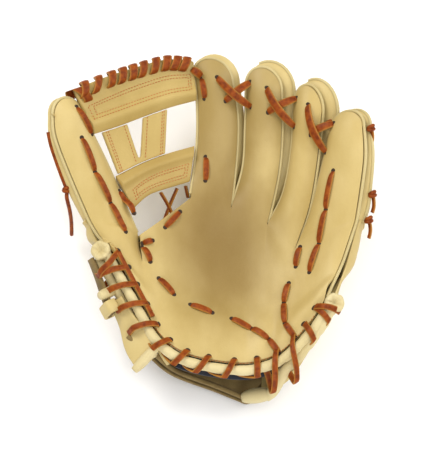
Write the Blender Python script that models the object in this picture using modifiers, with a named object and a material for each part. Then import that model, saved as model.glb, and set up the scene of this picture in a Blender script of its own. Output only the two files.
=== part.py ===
"""Baseball glove: a soft leather infield glove, lying palm up on the back of its hand.

Metres, +Z up. +X points to the little finger and +Y to the fingertips. The origin is on the floor,
under the deepest point of the pocket. Every piece is laid out on the palm, as a place in plan and a
depth behind the palm's face, so the pieces keep clear of each other when a size changes.
"""

import math

import bmesh
import bpy
from mathutils import Vector

# Reaches of the palm in plan, from the deepest point of the pocket.
THUMB_REACH = 0.143
LITTLE_REACH = 0.096
TIP_REACH = 0.157
HEEL_REACH = 0.098

# Height of the pocket over the floor, and how far each side of the palm rises above it.
POCKET_HEIGHT = 0.038
THUMB_RISE = 0.053
LITTLE_RISE = 0.044
TIP_RISE = 0.0375
HEEL_RISE = 0.017

# Depths from the palm's face to the outside of the back.
HAND_DEPTH = 0.043
FINGER_DEPTH = 0.0395
# Shares of those depths that the back loses towards its sides, and keeps between the knuckles.
HAND_ROUNDING = 0.38
FINGER_ROUNDING = 0.12
KNUCKLE_VALLEY = 0.92

# Leather, lining and seams.
LEATHER = 0.003
LINING = 0.0025
LINING_CLEARANCE = 0.0010
EDGE_DROP = 0.005
WELT_HEIGHT = 0.0024
WELT_WIDTH = 0.0032
WELT_STANDING_OUT = 0.0008
WALL_INSET = 0.0006
BACK_ROUNDING = 0.0035
GAP = 0.0003

# Rolled edges at the heel.
BINDING_RADIUS = 0.004
BINDING_GAP = 0.0007
BACK_EDGE_STEP = 0.003

# Web between thumb and first finger.
WEB_DEPTH = 0.001
WEB_THICKNESS = 0.007
POST_THICKNESS = 0.004

# Laces are flat strips of leather.
LACE_WIDTH = 0.0052
LACE_THICKNESS = 0.0016
EYELET_CLEARANCE = 0.0006
EYELET_MARGIN = 0.0035
EYELET_OVERCUT = 0.002
LACE_SLACK = 0.0006
BACK_LACE_SLACK = 0.0024
WEB_EYELET_INSET = 0.0065
TIE_RADIUS = 0.0016
TIE_DROP = 0.056

# Wrist strap.
STRAP_THICKNESS = 0.0026
STRAP_WIDTH = 0.030
TAB_WIDTH = 0.012
KEEPER_WIDTH = 0.007
KEEPER_THICKNESS = 0.0018
STRAP_REACH = 0.0125
STRAP_STEPS = 14
STRAP_CLEARANCE = 0.0004
STRAP_EASE = 0.012

# Share of the way round the heel, from the thumb's knob to the little finger's, where each finger's
# strip of palm begins, with the place of its root. Places are shares of the four reaches.
ROOTS = (
    # heel share, root x, root y
    (0.00, -0.802, 0.113),
    (0.22, -0.546, 0.086),
    (0.40, -0.267, 0.310),
    (0.53, -0.039, 0.255),
    (0.66, 0.247, 0.159),
    (0.82, 0.469, 0.002),
    (1.00, 0.927, 0.104),
)

# The heel's edge, from the thumb's knob round to the little finger's, with the depth of the back's
# edge there as a share of HAND_DEPTH.
HEEL_EDGE = (
    # x, y, depth of the back
    (-0.735, -0.060, 0.27),
    (-0.650, -0.269, 0.27),
    (-0.537, -0.563, 0.28),
    (-0.453, -0.781, 0.30),
    (-0.300, -0.945, 0.64),
    (-0.032, -1.019, 0.92),
    (0.171, -1.004, 0.97),
    (0.380, -0.915, 0.74),
    (0.612, -0.692, 0.32),
    (0.740, -0.500, 0.27),
)

# Outline of each finger's front, its strip of the palm, which sides are the glove's outside, and the
# depth of its back at root and tip as shares of FINGER_DEPTH.
FINGERS = {
    "thumb": {
        "strip": 0,
        "left": ((-0.915, 0.335), (-0.989, 0.501), (-1.001, 0.600)),
        "right": ((-0.689, 0.371), (-0.779, 0.530), (-0.850, 0.630)),
        "tip": (-0.935, 0.705),
        "outside": (True, True),
        "depth": (0.70, 0.46),
    },
    "index": {
        "strip": 2,
        "left": ((-0.225, 0.572), (-0.222, 0.780), (-0.240, 0.930)),
        "right": ((-0.005, 0.548), (-0.001, 0.739), (-0.035, 0.915)),
        "tip": (-0.145, 1.003),
        "outside": (True, False),
        "depth": (1.00, 0.58),
    },
    "middle": {
        "strip": 3,
        "left": ((0.045, 0.470), (0.067, 0.680), (0.074, 0.880)),
        "right": ((0.335, 0.450), (0.361, 0.665), (0.352, 0.850)),
        "tip": (0.207, 0.960),
        "outside": (False, False),
        "depth": (1.00, 0.58),
    },
    "ring": {
        "strip": 4,
        "left": ((0.375, 0.340), (0.440, 0.560), (0.455, 0.760)),
        "right": ((0.585, 0.255), (0.650, 0.490), (0.683, 0.700)),
        "tip": (0.578, 0.845),
        "outside": (False, False),
        "depth": (0.96, 0.56),
    },
    "little": {
        "strip": 5,
        "left": ((0.592, 0.225), (0.685, 0.440), (0.745, 0.590)),
        "right": ((0.970, 0.260), (1.005, 0.430), (0.995, 0.585)),
        "tip": (0.865, 0.672),
        "outside": (False, True),
        "depth": (0.80, 0.52),
    },
}

# Web pieces, as places along their upper and lower edges from thumb to first finger.
WEB_TOP_EDGE = ((-0.868, 0.792), (-0.712, 0.868), (-0.555, 0.935), (-0.400, 0.983), (-0.250, 0.985))
WEB_TOP_LOW_EDGE = ((-0.795, 0.560), (-0.655, 0.628), (-0.515, 0.697), (-0.375, 0.756), (-0.233, 0.800))
WEB_LOW_TOP_EDGE = ((-0.677, 0.371), (-0.530, 0.462), (-0.385, 0.528), (-0.244, 0.575))
WEB_LOW_EDGE = ((-0.582, 0.214), (-0.515, 0.284), (-0.443, 0.326), (-0.270, 0.391))

# Posts of the web, as shares along the top bar's lower edge and the lower bar's upper edge.
POSTS = (
    # upper left, upper right, lower left, lower right
    (0.09, 0.31, 0.05, 0.30),
    (0.47, 0.71, 0.30, 0.61),
)
POST_FORK = 0.12

# Crossed laces over the gaps between fingertips: two straps each, from end to end.
TIP_LACES = (
    # first strap from x, y to x, y, then second strap from x, y to x, y
    ((-0.119, 0.915), (0.113, 0.773), (-0.073, 0.802), (0.106, 0.894)),
    ((0.249, 0.859), (0.479, 0.652), (0.260, 0.739), (0.490, 0.792)),
    ((0.595, 0.746), (0.730, 0.491), (0.611, 0.595), (0.793, 0.625)),
)

# Route of the tie: shares of the thumb's length with depths down its wall, then steps down to the floor
# from there as shares of TIE_DROP.
TIE_LAY = ((0.74, 0.0135), (0.60, 0.0145), (0.46, 0.0155), (0.34, 0.0165), (0.25, 0.0175))
TIE_TAIL = ((0.0, -0.10, -0.09), (0.02, -0.18, -0.36), (0.02, -0.25, -0.68), (0.0, -0.33, -1.0))
TIE_POINTS = 32

HEEL_LACE = {"turns": 14, "first": 0.055, "last": 0.955}
WEB_LACE = {"turns": 10, "first": 0.04, "last": 0.95}
WINDOW = {"first_strip": 2, "last_strip": 3, "top": 0.45}
BODY_ROWS = (0.0, 0.12, 0.25, 0.40, 0.56, 0.72, 0.87, 1.0)
FINGER_ROWS = (0.0, 0.10, 0.22, 0.36, 0.52, 0.68, 0.82, 0.93, 1.0)
COLUMNS = 6
ROOT_JOIN = 0.030

# Shares of the way round the heel: the strap's ends, the lining's ends, and where the back's edge ends
# on both sides of the strap. The back is laced with the front where its edge is this shallow.
KNOB = 0.012
STRAP_FIRST = 0.235
TAB_FIRST = 0.01
TAB_LAST = 0.27
KEEPER_PLACE = 0.192
STRAP_LAST = 0.74
LINING_FIRST = 0.43
LINING_LAST = 0.80
THUMB_SIDE_END = 0.40
LITTLE_SIDE_START = 0.66
BACK_LACED_UNDER = 0.5

# The lining's lip at the heel, as distances in from the palm's edge and depths behind its face.
LINING_LIP = (
    # inset, depth
    (0.0005, 0.0148),
    (0.0075, 0.0110),
    (0.0135, 0.0074),
    (0.0200, 0.0044),
)


def smooth(t):
    """A step from 0 to 1 with level ends."""
    t = min(max(t, 0.0), 1.0)
    return t * t * (3 - 2 * t)


def mix(a, b, t):
    return tuple(p + (q - p) * t for p, q in zip(a, b))


def along(points, t):
    """A smooth curve through the points, with t from 0 to 1 and each stretch an equal share of it."""
    last = len(points) - 1
    place = min(max(t, 0.0), 1.0) * last
    i = min(int(place), last - 1)
    f = place - i
    near = [points[min(max(k, 0), last)] for k in (i - 1, i, i + 1, i + 2)]
    return tuple(
        0.5 * (2 * b + (c - a) * f + (2 * a - 5 * b + 4 * c - d) * f * f + (3 * b - a - 3 * c + d) * f**3)
        for a, b, c, d in zip(*near)
    )


def plan(share):
    """Metres in plan from shares of the four reaches."""
    x, y = share[:2]
    return (x * (LITTLE_REACH if x > 0 else THUMB_REACH), y * (TIP_REACH if y > 0 else HEEL_REACH))


def palm_height(x, y):
    across = THUMB_RISE * (x / THUMB_REACH) ** 2 if x < 0 else LITTLE_RISE * (x / LITTLE_REACH) ** 2
    ahead = TIP_RISE * (y / TIP_REACH) ** 2 if y > 0 else HEEL_RISE * (y / HEEL_REACH) ** 2
    return POCKET_HEIGHT + across + ahead


def palm_normal(x, y):
    slope_x = 2 * x * (THUMB_RISE / THUMB_REACH**2 if x < 0 else LITTLE_RISE / LITTLE_REACH**2)
    slope_y = 2 * y * (TIP_RISE / TIP_REACH**2 if y > 0 else HEEL_RISE / HEEL_REACH**2)
    return Vector((-slope_x, -slope_y, 1.0)).normalized()


def behind(place, depth):
    """The point at this depth behind the palm's face, never under the floor."""
    point = Vector((*place, palm_height(*place))) - palm_normal(*place) * depth
    point.z = max(point.z, 0.0)
    return point


def heel_place(share, inset=0.0):
    """A place on the heel's edge, moved in towards the palm by inset."""
    x, y = plan(along(HEEL_EDGE, share))
    step = 0.01
    ahead = plan(along(HEEL_EDGE, share + step))
    back = plan(along(HEEL_EDGE, share - step))
    run = Vector((ahead[0] - back[0], ahead[1] - back[1])).normalized()
    return (x - run.y * inset, y + run.x * inset)


def root_place(share):
    for (s0, *a), (s1, *b) in zip(ROOTS, ROOTS[1:]):
        if share <= s1:
            return mix(plan(a), plan(b), (share - s0) / (s1 - s0))
    return plan(ROOTS[-1][1:])


def body_place(share, v, inset):
    return mix(heel_place(share, inset), root_place(share), v)


def finger_place(finger, u, v, inset=0.0):
    """A place on a finger's front: u runs across it, v from its root to its tip."""
    row = FINGERS[finger]
    strip = row["strip"]
    left = [plan(ROOTS[strip][1:])] + [plan(p) for p in row["left"]]
    right = [plan(ROOTS[strip + 1][1:])] + [plan(p) for p in row["right"]]
    a, b = along(left, v), along(right, v)
    margin = inset / math.dist(a, b)
    x, y = mix(a, b, margin + u * (1 - 2 * margin))
    shoulders = mix(left[-1], right[-1], 0.5)
    tip = plan(row["tip"])
    bulge = Vector((tip[0] - shoulders[0], tip[1] - shoulders[1]))
    bulge -= bulge.normalized() * inset
    reach = math.sqrt(max(0.0, 1 - (2 * u - 1) ** 2)) * smooth((v - 0.45) / 0.55)
    return (x + bulge.x * reach, y + bulge.y * reach)


def side_drop(u):
    return abs(2 * u - 1) ** 3


def finger_drop(finger, u, v):
    """How far the front falls away towards a finger's edges."""
    outside = FINGERS[finger]["outside"][0 if u < 0.5 else 1]
    side = side_drop(u) * (1.0 if outside and finger != "index" else smooth(v / 0.3))
    end = smooth((v - 0.75) / 0.25) ** 2
    return EDGE_DROP * (1 - (1 - side) * (1 - end))


def body_drop(strip, u, v):
    if strip == 0 and u < 0.5 or strip == 5 and u > 0.5:
        return EDGE_DROP * side_drop(u) * smooth(v / 0.6)
    if strip == 0:
        return EDGE_DROP * side_drop(u) * smooth((v - 0.6) / 0.4)
    return 0.0


def strip_share(strip, u):
    first, last = ROOTS[strip][0], ROOTS[strip + 1][0]
    return first + (last - first) * u


def heel_depth(share):
    return HAND_DEPTH * along(HEEL_EDGE, share)[2]


def finger_back_depth(finger, u, v):
    root, tip = FINGERS[finger]["depth"]
    share = root + (tip - root) * smooth(v)
    return FINGER_DEPTH * share * (1 - FINGER_ROUNDING * abs(2 * u - 1) ** 3)


def finger_of_strip(strip):
    return next((name for name, row in FINGERS.items() if row["strip"] == strip), None)


def hand_back_depth(strip, u, v):
    share = strip_share(strip, u)
    full = HAND_DEPTH * (1 - HAND_ROUNDING * abs(2 * share - 1) ** 3)
    finger = finger_of_strip(strip)
    middle = FINGERS[finger]["depth"][0] if finger else KNUCKLE_VALLEY
    outside = strip == 0 and u < 0.5 or strip == 5 and u > 0.5
    side = middle * (1 - FINGER_ROUNDING) if outside else KNUCKLE_VALLEY
    root = FINGER_DEPTH * (middle + (side - middle) * abs(2 * u - 1) ** 3)
    deep = heel_depth(share) + (full - heel_depth(share)) * smooth((v - 0.25) / 0.4)
    return deep + (root - deep) * smooth((v - 0.65) / 0.35)


def columns():
    """Shares across a strip, closer together towards its edges."""
    return [(1 - math.cos(math.pi * k / COLUMNS)) / 2 for k in range(COLUMNS + 1)]


def material(name, colour, roughness):
    made = bpy.data.materials.new(name)
    made.use_nodes = True
    shader = made.node_tree.nodes["Principled BSDF"]
    shader.inputs["Base Color"].default_value = (*colour, 1.0)
    shader.inputs["Roughness"].default_value = roughness
    return made


def add_object(name, mesh, finish, hidden=False):
    piece = bpy.data.objects.new(name, mesh)
    mesh.materials.append(finish)
    (cutters if hidden else parts).objects.link(piece)
    if hidden:
        piece.hide_render = True
        piece.display_type = "WIRE"
    return piece


def mesh_of_grids(name, grids, towards):
    """One sheet from grids of points whose shared edges coincide, facing towards the given direction."""
    sheet = bmesh.new()
    for grid in grids:
        rows = [[sheet.verts.new(point) for point in row] for row in grid]
        for low, high in zip(rows, rows[1:]):
            for a, b, c, d in zip(low, low[1:], high[1:], high):
                sheet.faces.new((a, b, c, d))
    bmesh.ops.remove_doubles(sheet, verts=sheet.verts, dist=1e-5)
    bmesh.ops.recalc_face_normals(sheet, faces=sheet.faces)
    facing = sum((face.normal * face.calc_area() for face in sheet.faces), Vector())
    if facing.dot(Vector(towards)) < 0:
        bmesh.ops.reverse_faces(sheet, faces=sheet.faces)
    mesh = bpy.data.meshes.new(name)
    sheet.to_mesh(mesh)
    sheet.free()
    mesh.shade_smooth()
    return mesh


def add_sheet(name, grids, towards, thickness, finish):
    """A leather sheet whose given face looks outwards and whose thickness lies behind it."""
    piece = add_object(name, mesh_of_grids(name, grids, towards), finish)
    wall = piece.modifiers.new("thickness", "SOLIDIFY")
    wall.thickness = thickness
    wall.offset = -1.0
    wall.use_even_offset = False
    return piece


def add_strip(name, centres, widths_along, normals, width, thickness, finish, closed=False):
    """A flat strip: each section lies across widths_along and is as thick as thickness along normals."""
    strip = bmesh.new()
    sections = []
    for centre, across, normal in zip(centres, widths_along, normals):
        w, t = across.normalized() * width / 2, normal.normalized() * thickness / 2
        corners = (centre - w - t, centre + w - t, centre + w + t, centre - w + t)
        sections.append([strip.verts.new(corner) for corner in corners])
    pairs = list(zip(sections, sections[1:] + sections[:1] if closed else sections[1:]))
    for low, high in pairs:
        for k in range(4):
            n = (k + 1) % 4
            strip.faces.new((low[k], low[n], high[n], high[k]))
    if not closed:
        strip.faces.new(sections[0][::-1])
        strip.faces.new(sections[-1])
    bmesh.ops.recalc_face_normals(strip, faces=strip.faces)
    mesh = bpy.data.meshes.new(name)
    strip.to_mesh(mesh)
    strip.free()
    return add_object(name, mesh, finish)


def add_tube(name, points, radius, finish):
    curve = bpy.data.curves.new(name, "CURVE")
    curve.dimensions = "3D"
    curve.bevel_depth = radius
    curve.bevel_resolution = 2
    curve.use_fill_caps = True
    spline = curve.splines.new("POLY")
    spline.points.add(len(points) - 1)
    for place, point in zip(spline.points, points):
        place.co = (*point, 1.0)
    return add_object(name, curve, finish)


def directions(points):
    """The direction of a path at each of its points."""
    last = len(points) - 1
    return [(points[min(i + 1, last)] - points[max(i - 1, 0)]).normalized() for i in range(last + 1)]


# Palm: one sheet of leather with the five finger fronts, split by the slits between them.
def palm_grids(face_depth=0.0):
    grids = []
    inset = BINDING_RADIUS + BINDING_GAP
    for strip in range(6):
        grids.append([
            [behind(body_place(strip_share(strip, u), v, inset), face_depth + body_drop(strip, u, v))
             for u in columns()]
            for v in BODY_ROWS
        ])
    for finger in FINGERS:
        grids.append([
            [behind(finger_place(finger, u, v), face_depth + finger_drop(finger, u, v)) for u in columns()]
            for v in FINGER_ROWS
        ])
    return grids


def outline_places(finger, inset):
    """The finger's seam from its left root over the tip to its right root, as (place, drop, u, v)."""
    rows = [ROOT_JOIN] + list(FINGER_ROWS[1:])
    turns = [(0.0, v) for v in rows] + [(u, 1.0) for u in columns()[1:-1]] + [(1.0, v) for v in rows[::-1]]
    return [(finger_place(finger, u, v, inset), finger_drop(finger, u, v), u, v) for u, v in turns]


def seam_depth(drop):
    """Where the back's wall begins, behind the front's edge and the welt."""
    return drop + LEATHER + 2 * GAP + WELT_HEIGHT


def finger_back_grids(finger):
    rows = [ROOT_JOIN] + list(FINGER_ROWS[1:])
    inset = WALL_INSET + BACK_ROUNDING
    back = [
        [behind(finger_place(finger, u, v, inset), finger_back_depth(finger, u, v)) for u in columns()]
        for v in rows
    ]
    border = [row[0] for row in back] + back[-1][1:-1] + [row[-1] for row in back[::-1]]
    seam = outline_places(finger, WALL_INSET)
    top = [behind(place, seam_depth(drop)) for place, drop, u, v in seam]
    low = [
        behind(place, max(finger_back_depth(finger, u, v) - BACK_ROUNDING, seam_depth(drop) + GAP))
        for place, drop, u, v in seam
    ]
    return [back, [top, low], [low, border]]


def hand_back_grids():
    inset = BINDING_RADIUS + BINDING_GAP - BACK_EDGE_STEP
    grids = []
    edges = {"outer": [], "crotch": [], "little": []}
    for strip in range(6):
        rows = BODY_ROWS
        if WINDOW["first_strip"] <= strip <= WINDOW["last_strip"]:
            rows = [v for v in BODY_ROWS if v > WINDOW["top"]]
        grids.append([
            [behind(wall_inside(strip, u, v, inset), hand_back_depth(strip, u, v)) for u in columns()]
            for v in rows
        ])
    for name, strip, u in (("outer", 0, 0.0), ("little", 5, 1.0)):
        for v in BODY_ROWS:
            edges[name].append((strip, u, v))
    edges["crotch"] = [(1, u, 1.0) for u in columns()]
    for turns in edges.values():
        border = [behind(wall_inside(s, u, v, inset), hand_back_depth(s, u, v)) for s, u, v in turns]
        outer = [wall_outside(s, u, v, inset) for s, u, v in turns]
        starts = [seam_depth(body_drop(s, u, v)) for s, u, v in turns]
        depths = [
            max(hand_back_depth(s, u, v) - BACK_ROUNDING, start + GAP)
            for (s, u, v), start in zip(turns, starts)
        ]
        top = [behind(place, start) for place, start in zip(outer, starts)]
        low = [behind(place, depth) for place, depth in zip(outer, depths)]
        grids += [[top, low], [low, border]]
    return grids


def shift_from_edge(strip, u, v, amount):
    """How a place near the glove's outside moves inwards by amount, in shares of its strip."""
    share = strip_share(strip, u)
    width = math.dist(body_place(0.0, v, 0.0), body_place(1.0, v, 0.0))
    return amount / width * (1 - 2 * share)


def wall_outside(strip, u, v, inset):
    share = strip_share(strip, u)
    place = body_place(share + shift_from_edge(strip, u, v, WALL_INSET), v, inset)
    return (place[0], place[1] - (WALL_INSET if v == 1.0 else 0.0))


def wall_inside(strip, u, v, inset):
    share = strip_share(strip, u)
    place = body_place(share + shift_from_edge(strip, u, v, WALL_INSET + BACK_ROUNDING), v, inset)
    pull = WALL_INSET + BACK_ROUNDING if strip == 1 and v == 1.0 else 0.0
    return (place[0], place[1] - pull * (1 - abs(2 * u - 1) ** 4))


for old in list(bpy.data.objects):
    bpy.data.objects.remove(old, do_unlink=True)
parts = bpy.data.collections.new("baseball_glove")
cutters = bpy.data.collections.new("cutters")
bpy.context.scene.collection.children.link(parts)
bpy.context.scene.collection.children.link(cutters)
cutters.hide_render = True

tan_leather = material("tan_leather", (0.66, 0.47, 0.27), 0.5)
back_leather = material("back_leather", (0.69, 0.50, 0.30), 0.5)
welt_leather = material("welt_leather", (0.78, 0.66, 0.46), 0.5)
lace_leather = material("lace_leather", (0.44, 0.12, 0.03), 0.45)
lining_leather = material("lining_leather", (0.02, 0.025, 0.05), 0.8)
strap_suede = material("strap_suede", (0.55, 0.40, 0.24), 0.8)

palm_shell = add_sheet("palm_shell", palm_grids(), (0, 0, 1), LEATHER, tan_leather)
for finger in FINGERS:
    add_sheet(finger + "_back", finger_back_grids(finger), (0, 0, -1), LEATHER, back_leather)
hand_back = add_sheet("hand_back", hand_back_grids(), (0, 0, -1), LEATHER, back_leather)


# Welts: piping sewn into the finger seams, between the front's edge and the back's wall.
def welt_turns(finger):
    """The seam's places from left root over the tip to right root, on past the roots on outside seams."""
    rows = [ROOT_JOIN] + list(FINGER_ROWS[1:])
    inner = WELT_WIDTH / 2 - WELT_STANDING_OUT
    sunk = WELT_WIDTH / 2 + WALL_INSET * 3
    turns = [(0.0, v) for v in rows] + [(u, 1.0) for u in columns()[1:-1]] + [(1.0, v) for v in rows[::-1]]
    path = []
    for u, v in turns:
        outside = FINGERS[finger]["outside"][0 if u < 0.5 else 1]
        inset = inner if outside else sunk + (inner - sunk) * smooth(v / 0.5)
        path.append((finger_place(finger, u, v, inset), finger_drop(finger, u, v)))
    body_rows = BODY_ROWS[2:-1]
    if finger == "thumb":
        outer = [(body_side(0.0, v, inner), body_drop(0, 0.0, v)) for v in body_rows]
        path = outer + path
    if finger == "little":
        outer = [(body_side(1.0, v, inner), body_drop(5, 1.0, v)) for v in body_rows]
        path = path + outer[::-1]
    return path


def body_side(share, v, inner):
    width = math.dist(body_place(0.0, v, 0.0), body_place(1.0, v, 0.0))
    return body_place(share + inner / width * (1 - 2 * share), v, BINDING_RADIUS + BINDING_GAP)


def add_welt(finger):
    path = welt_turns(finger)
    depths = [drop + LEATHER + GAP + WELT_HEIGHT / 2 for place, drop in path]
    centres = [behind(place, depth) for (place, drop), depth in zip(path, depths)]
    normals = [palm_normal(*place) for place, drop in path]
    runs = directions(centres)
    across = [run.cross(normal) for run, normal in zip(runs, normals)]
    return add_strip(finger + "_welt", centres, across, normals, WELT_WIDTH, WELT_HEIGHT, welt_leather)


# Rolled edges: the palm's all round the heel, the back's on both sides of the strap.
def front_edge(share):
    return behind(heel_place(share), LEATHER / 2)


def back_edge(share):
    return behind(heel_place(share, -BACK_EDGE_STEP), heel_depth(share) - LEATHER / 2)


def add_binding(name, edge, first, last, steps):
    points = [edge(first + (last - first) * k / steps) for k in range(steps + 1)]
    return add_tube(name, points, BINDING_RADIUS, welt_leather)


# Lining: the dark padding behind the palm, which rolls down at the hand's opening.
def lining_grid():
    shares = [LINING_FIRST + (LINING_LAST - LINING_FIRST) * k / 10 for k in range(11)]
    rows = []
    for inset, depth in LINING_LIP:
        rows.append([behind(heel_place(s, inset), depth) for s in shares])
    for v in (0.28, 0.45, 0.65, 0.85):
        rows.append([behind(body_place(s, v, 0.0), LEATHER + LINING_CLEARANCE) for s in shares])
    return rows


# Whip lacing: round an edge and through its eyelets, one turn after another.
def heel_frame(share):
    """The palm's edge at a share of the way round: run along it, outwards and up off the palm."""
    place = heel_place(share)
    up = palm_normal(*place)
    ahead, back = front_edge(min(share + 0.01, 1.0)), front_edge(max(share - 0.01, 0.0))
    run = (ahead - back).normalized()
    out = up.cross(run)
    inner = heel_place(share, 0.01)
    if out.dot(Vector((place[0] - inner[0], place[1] - inner[1], 0.0))) < 0:
        out = -out
    surface = behind(place, 0.0)
    return surface, run, out.normalized(), up


def web_frame(share):
    place = plan(along(WEB_TOP_EDGE, share))
    up = palm_normal(*place)
    ahead = plan(along(WEB_TOP_EDGE, min(share + 0.01, 1.0)))
    back = plan(along(WEB_TOP_EDGE, max(share - 0.01, 0.0)))
    run = (behind(ahead, 0.0) - behind(back, 0.0)).normalized()
    out = run.cross(up) * -1
    if out.y < 0:
        out = -out
    return behind(place, 0.0), run, out.normalized(), up


def whip_sections(frame, shares, loop_at):
    """All turns: down through each eyelet, under the edge and back over it to the next eyelet."""
    sections = []
    for k, share in enumerate(shares):
        following = shares[min(k + 1, len(shares) - 1)]
        loop = loop_at(share, following - share)
        stretch = loop if k < len(shares) - 1 else loop[:3]
        for n, depth, lean_out, lean_up, t in stretch:
            surface, run, out, up = frame(share + (following - share) * t)
            sections.append((surface + out * n - up * depth, run, out * lean_out + up * lean_up))
    return sections


def heel_loop(share, pitch):
    """One turn round the heel's edge, as (outwards, depth, normal out, normal up, share of the pitch)."""
    half = LACE_THICKNESS / 2
    clear = BINDING_RADIUS + GAP + half + LACE_SLACK
    hole = -(BINDING_RADIUS + GAP + EYELET_MARGIN)
    top = -(GAP + half + LACE_SLACK)
    tube = LEATHER / 2
    both = heel_depth(share) < HAND_DEPTH * BACK_LACED_UNDER
    low = [heel_depth(share + pitch * t) - LEATHER / 2 if both else tube for t in (0.15, 0.35)]
    under = heel_depth(share) + BACK_LACE_SLACK if both else LEATHER
    under += GAP + half + LACE_SLACK
    step = BACK_EDGE_STEP + BACK_LACE_SLACK if both else 0.0
    diagonal = clear * 0.75
    return [
        (hole, top, -0.4, 1.0, 0.0),
        (hole, under, -0.4, -1.0, 0.0),
        (step, low[0] + clear + GAP, 0.0, -1.0, 0.15),
        (step + clear + GAP, low[1] + diagonal * 0.5, 1.0, -0.4, 0.35),
        (step + clear, tube, 1.0, 0.1, 0.5),
        (diagonal, tube - diagonal, 0.7, 0.7, 0.65),
        (0.0, tube - clear, 0.0, 1.0, 0.8),
    ]


def web_loop(share, pitch):
    """One turn round the top bar's upper edge."""
    half = LACE_THICKNESS / 2
    gap = GAP + half + LACE_SLACK
    hole = -WEB_EYELET_INSET
    near, far = WEB_DEPTH, WEB_DEPTH + WEB_THICKNESS
    return [
        (hole, near - gap, -0.4, 1.0, 0.0),
        (hole, far + gap, -0.4, -1.0, 0.0),
        (-gap / 2, far + gap, 0.2, -1.0, 0.25),
        (gap * 1.3, far + gap / 5, 1.0, -0.6, 0.4),
        (gap * 1.3, near - gap / 5, 1.0, 0.6, 0.55),
        (-gap / 2, near - gap, 0.2, 1.0, 0.7),
    ]


def turn_shares(lace):
    step = (lace["last"] - lace["first"]) / (lace["turns"] - 1)
    return [lace["first"] + step * k for k in range(lace["turns"])]


def add_lace(name, sections):
    centres, across, normals = zip(*sections)
    return add_strip(name, centres, across, normals, LACE_WIDTH, LACE_THICKNESS, lace_leather)


def add_eyelets(name, frame, shares, loop_at):
    """Cutters for the eyelets: one upright prism for each turn."""
    holes = bmesh.new()
    for share in shares:
        loop = loop_at(share, 0.0)
        surface, run, out, up = frame(share)
        hole, top, bottom = loop[0][0], loop[0][1], loop[1][1]
        centre = surface + out * hole
        half_run = run * (LACE_WIDTH / 2 + EYELET_CLEARANCE)
        half_out = out * (LACE_THICKNESS / 2 + EYELET_CLEARANCE)
        rings = []
        for depth in (top - EYELET_OVERCUT, bottom + EYELET_OVERCUT):
            level = centre - up * depth
            corners = (-half_run - half_out, half_run - half_out, half_run + half_out, half_out - half_run)
            rings.append([holes.verts.new(level + corner) for corner in corners])
        high, low = rings
        holes.faces.new(high)
        holes.faces.new(low[::-1])
        for k in range(4):
            n = (k + 1) % 4
            holes.faces.new((high[k], low[k], low[n], high[n]))
    bmesh.ops.recalc_face_normals(holes, faces=holes.faces)
    mesh = bpy.data.meshes.new(name)
    holes.to_mesh(mesh)
    holes.free()
    return add_object(name, mesh, lace_leather, hidden=True)


def cut(piece, cutter):
    hole = piece.modifiers.new("eyelets", "BOOLEAN")
    hole.operation = "DIFFERENCE"
    hole.solver = "EXACT"
    hole.object = cutter


# Web: two bars of doubled leather with a forked post between them.
def bar_grid(upper, lower, rows, steps):
    grid = []
    for r in range(rows + 1):
        row = []
        for k in range(steps + 1):
            a, b = along(lower, k / steps), along(upper, k / steps)
            row.append(behind(plan(mix(a, b, r / rows)), WEB_DEPTH))
        grid.append(row)
    return grid


def trimmed(low, high, r):
    """A place between the two bars, clear of both by the web's gap."""
    trim = 2 * GAP / math.dist(low, high)
    return mix(low, high, trim + r * (1 - 2 * trim))


def post_grids():
    depth = WEB_DEPTH + (WEB_THICKNESS - POST_THICKNESS) / 2
    fork_high = plan(along(WEB_TOP_LOW_EDGE, (POSTS[0][1] + POSTS[1][0]) / 2))
    fork_low = plan(along(WEB_LOW_TOP_EDGE, POSTS[0][3]))
    grids = []
    for (up_left, up_right, low_left, low_right), inner in zip(POSTS, (1.0, 0.0)):
        grid = []
        for r in (0.0, POST_FORK, 0.4, 0.7, 1.0):
            row = []
            for c in (0.0, 0.5, 1.0):
                high = plan(along(WEB_TOP_LOW_EDGE, up_left + (up_right - up_left) * c))
                low = plan(along(WEB_LOW_TOP_EDGE, low_left + (low_right - low_left) * c))
                joined = c == inner and r <= POST_FORK
                place = trimmed(fork_low, fork_high, r) if joined else trimmed(low, high, r)
                row.append(behind(place, depth))
            grid.append(row)
        grids.append(grid)
    return grids


# Fingertip laces: two straps crossed over each gap, joined where they cross.
def add_tip_lace(name, straps):
    start_1, end_1, start_2, end_2 = [plan(p) for p in straps]
    pieces = []
    for k, (start, end) in enumerate(((start_1, end_1), (start_2, end_2))):
        lift = -(GAP + LACE_THICKNESS / 2)
        centres = [behind(mix(start, end, t / 4), lift) for t in range(5)]
        normals = [palm_normal(*mix(start, end, t / 4)) for t in range(5)]
        run = directions(centres)
        across = [r.cross(normal) for r, normal in zip(run, normals)]
        pieces.append((centres, across, normals))
    first = add_strip(name, *pieces[0], LACE_WIDTH, LACE_THICKNESS, lace_leather)
    second = add_strip(name + "_under", *pieces[1], LACE_WIDTH, LACE_THICKNESS, lace_leather)
    parts.objects.unlink(second)
    cutters.objects.link(second)
    second.hide_render = True
    second.display_type = "WIRE"
    join = first.modifiers.new("crossing", "BOOLEAN")
    join.operation = "UNION"
    join.solver = "EXACT"
    join.object = second


# Strap at the wrist: a suede panel behind the heel's opening, its tab and the loop that keeps the tab.
def strap_outer(share):
    return -STRAP_REACH * (1 - smooth((share - STRAP_FIRST) / (0.5 - STRAP_FIRST)))


def back_depth_at(share, v):
    strip = max(k for k in range(6) if ROOTS[k][0] <= share)
    first, last = ROOTS[strip][0], ROOTS[strip + 1][0]
    return hand_back_depth(strip, (share - first) / (last - first), v)


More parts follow.
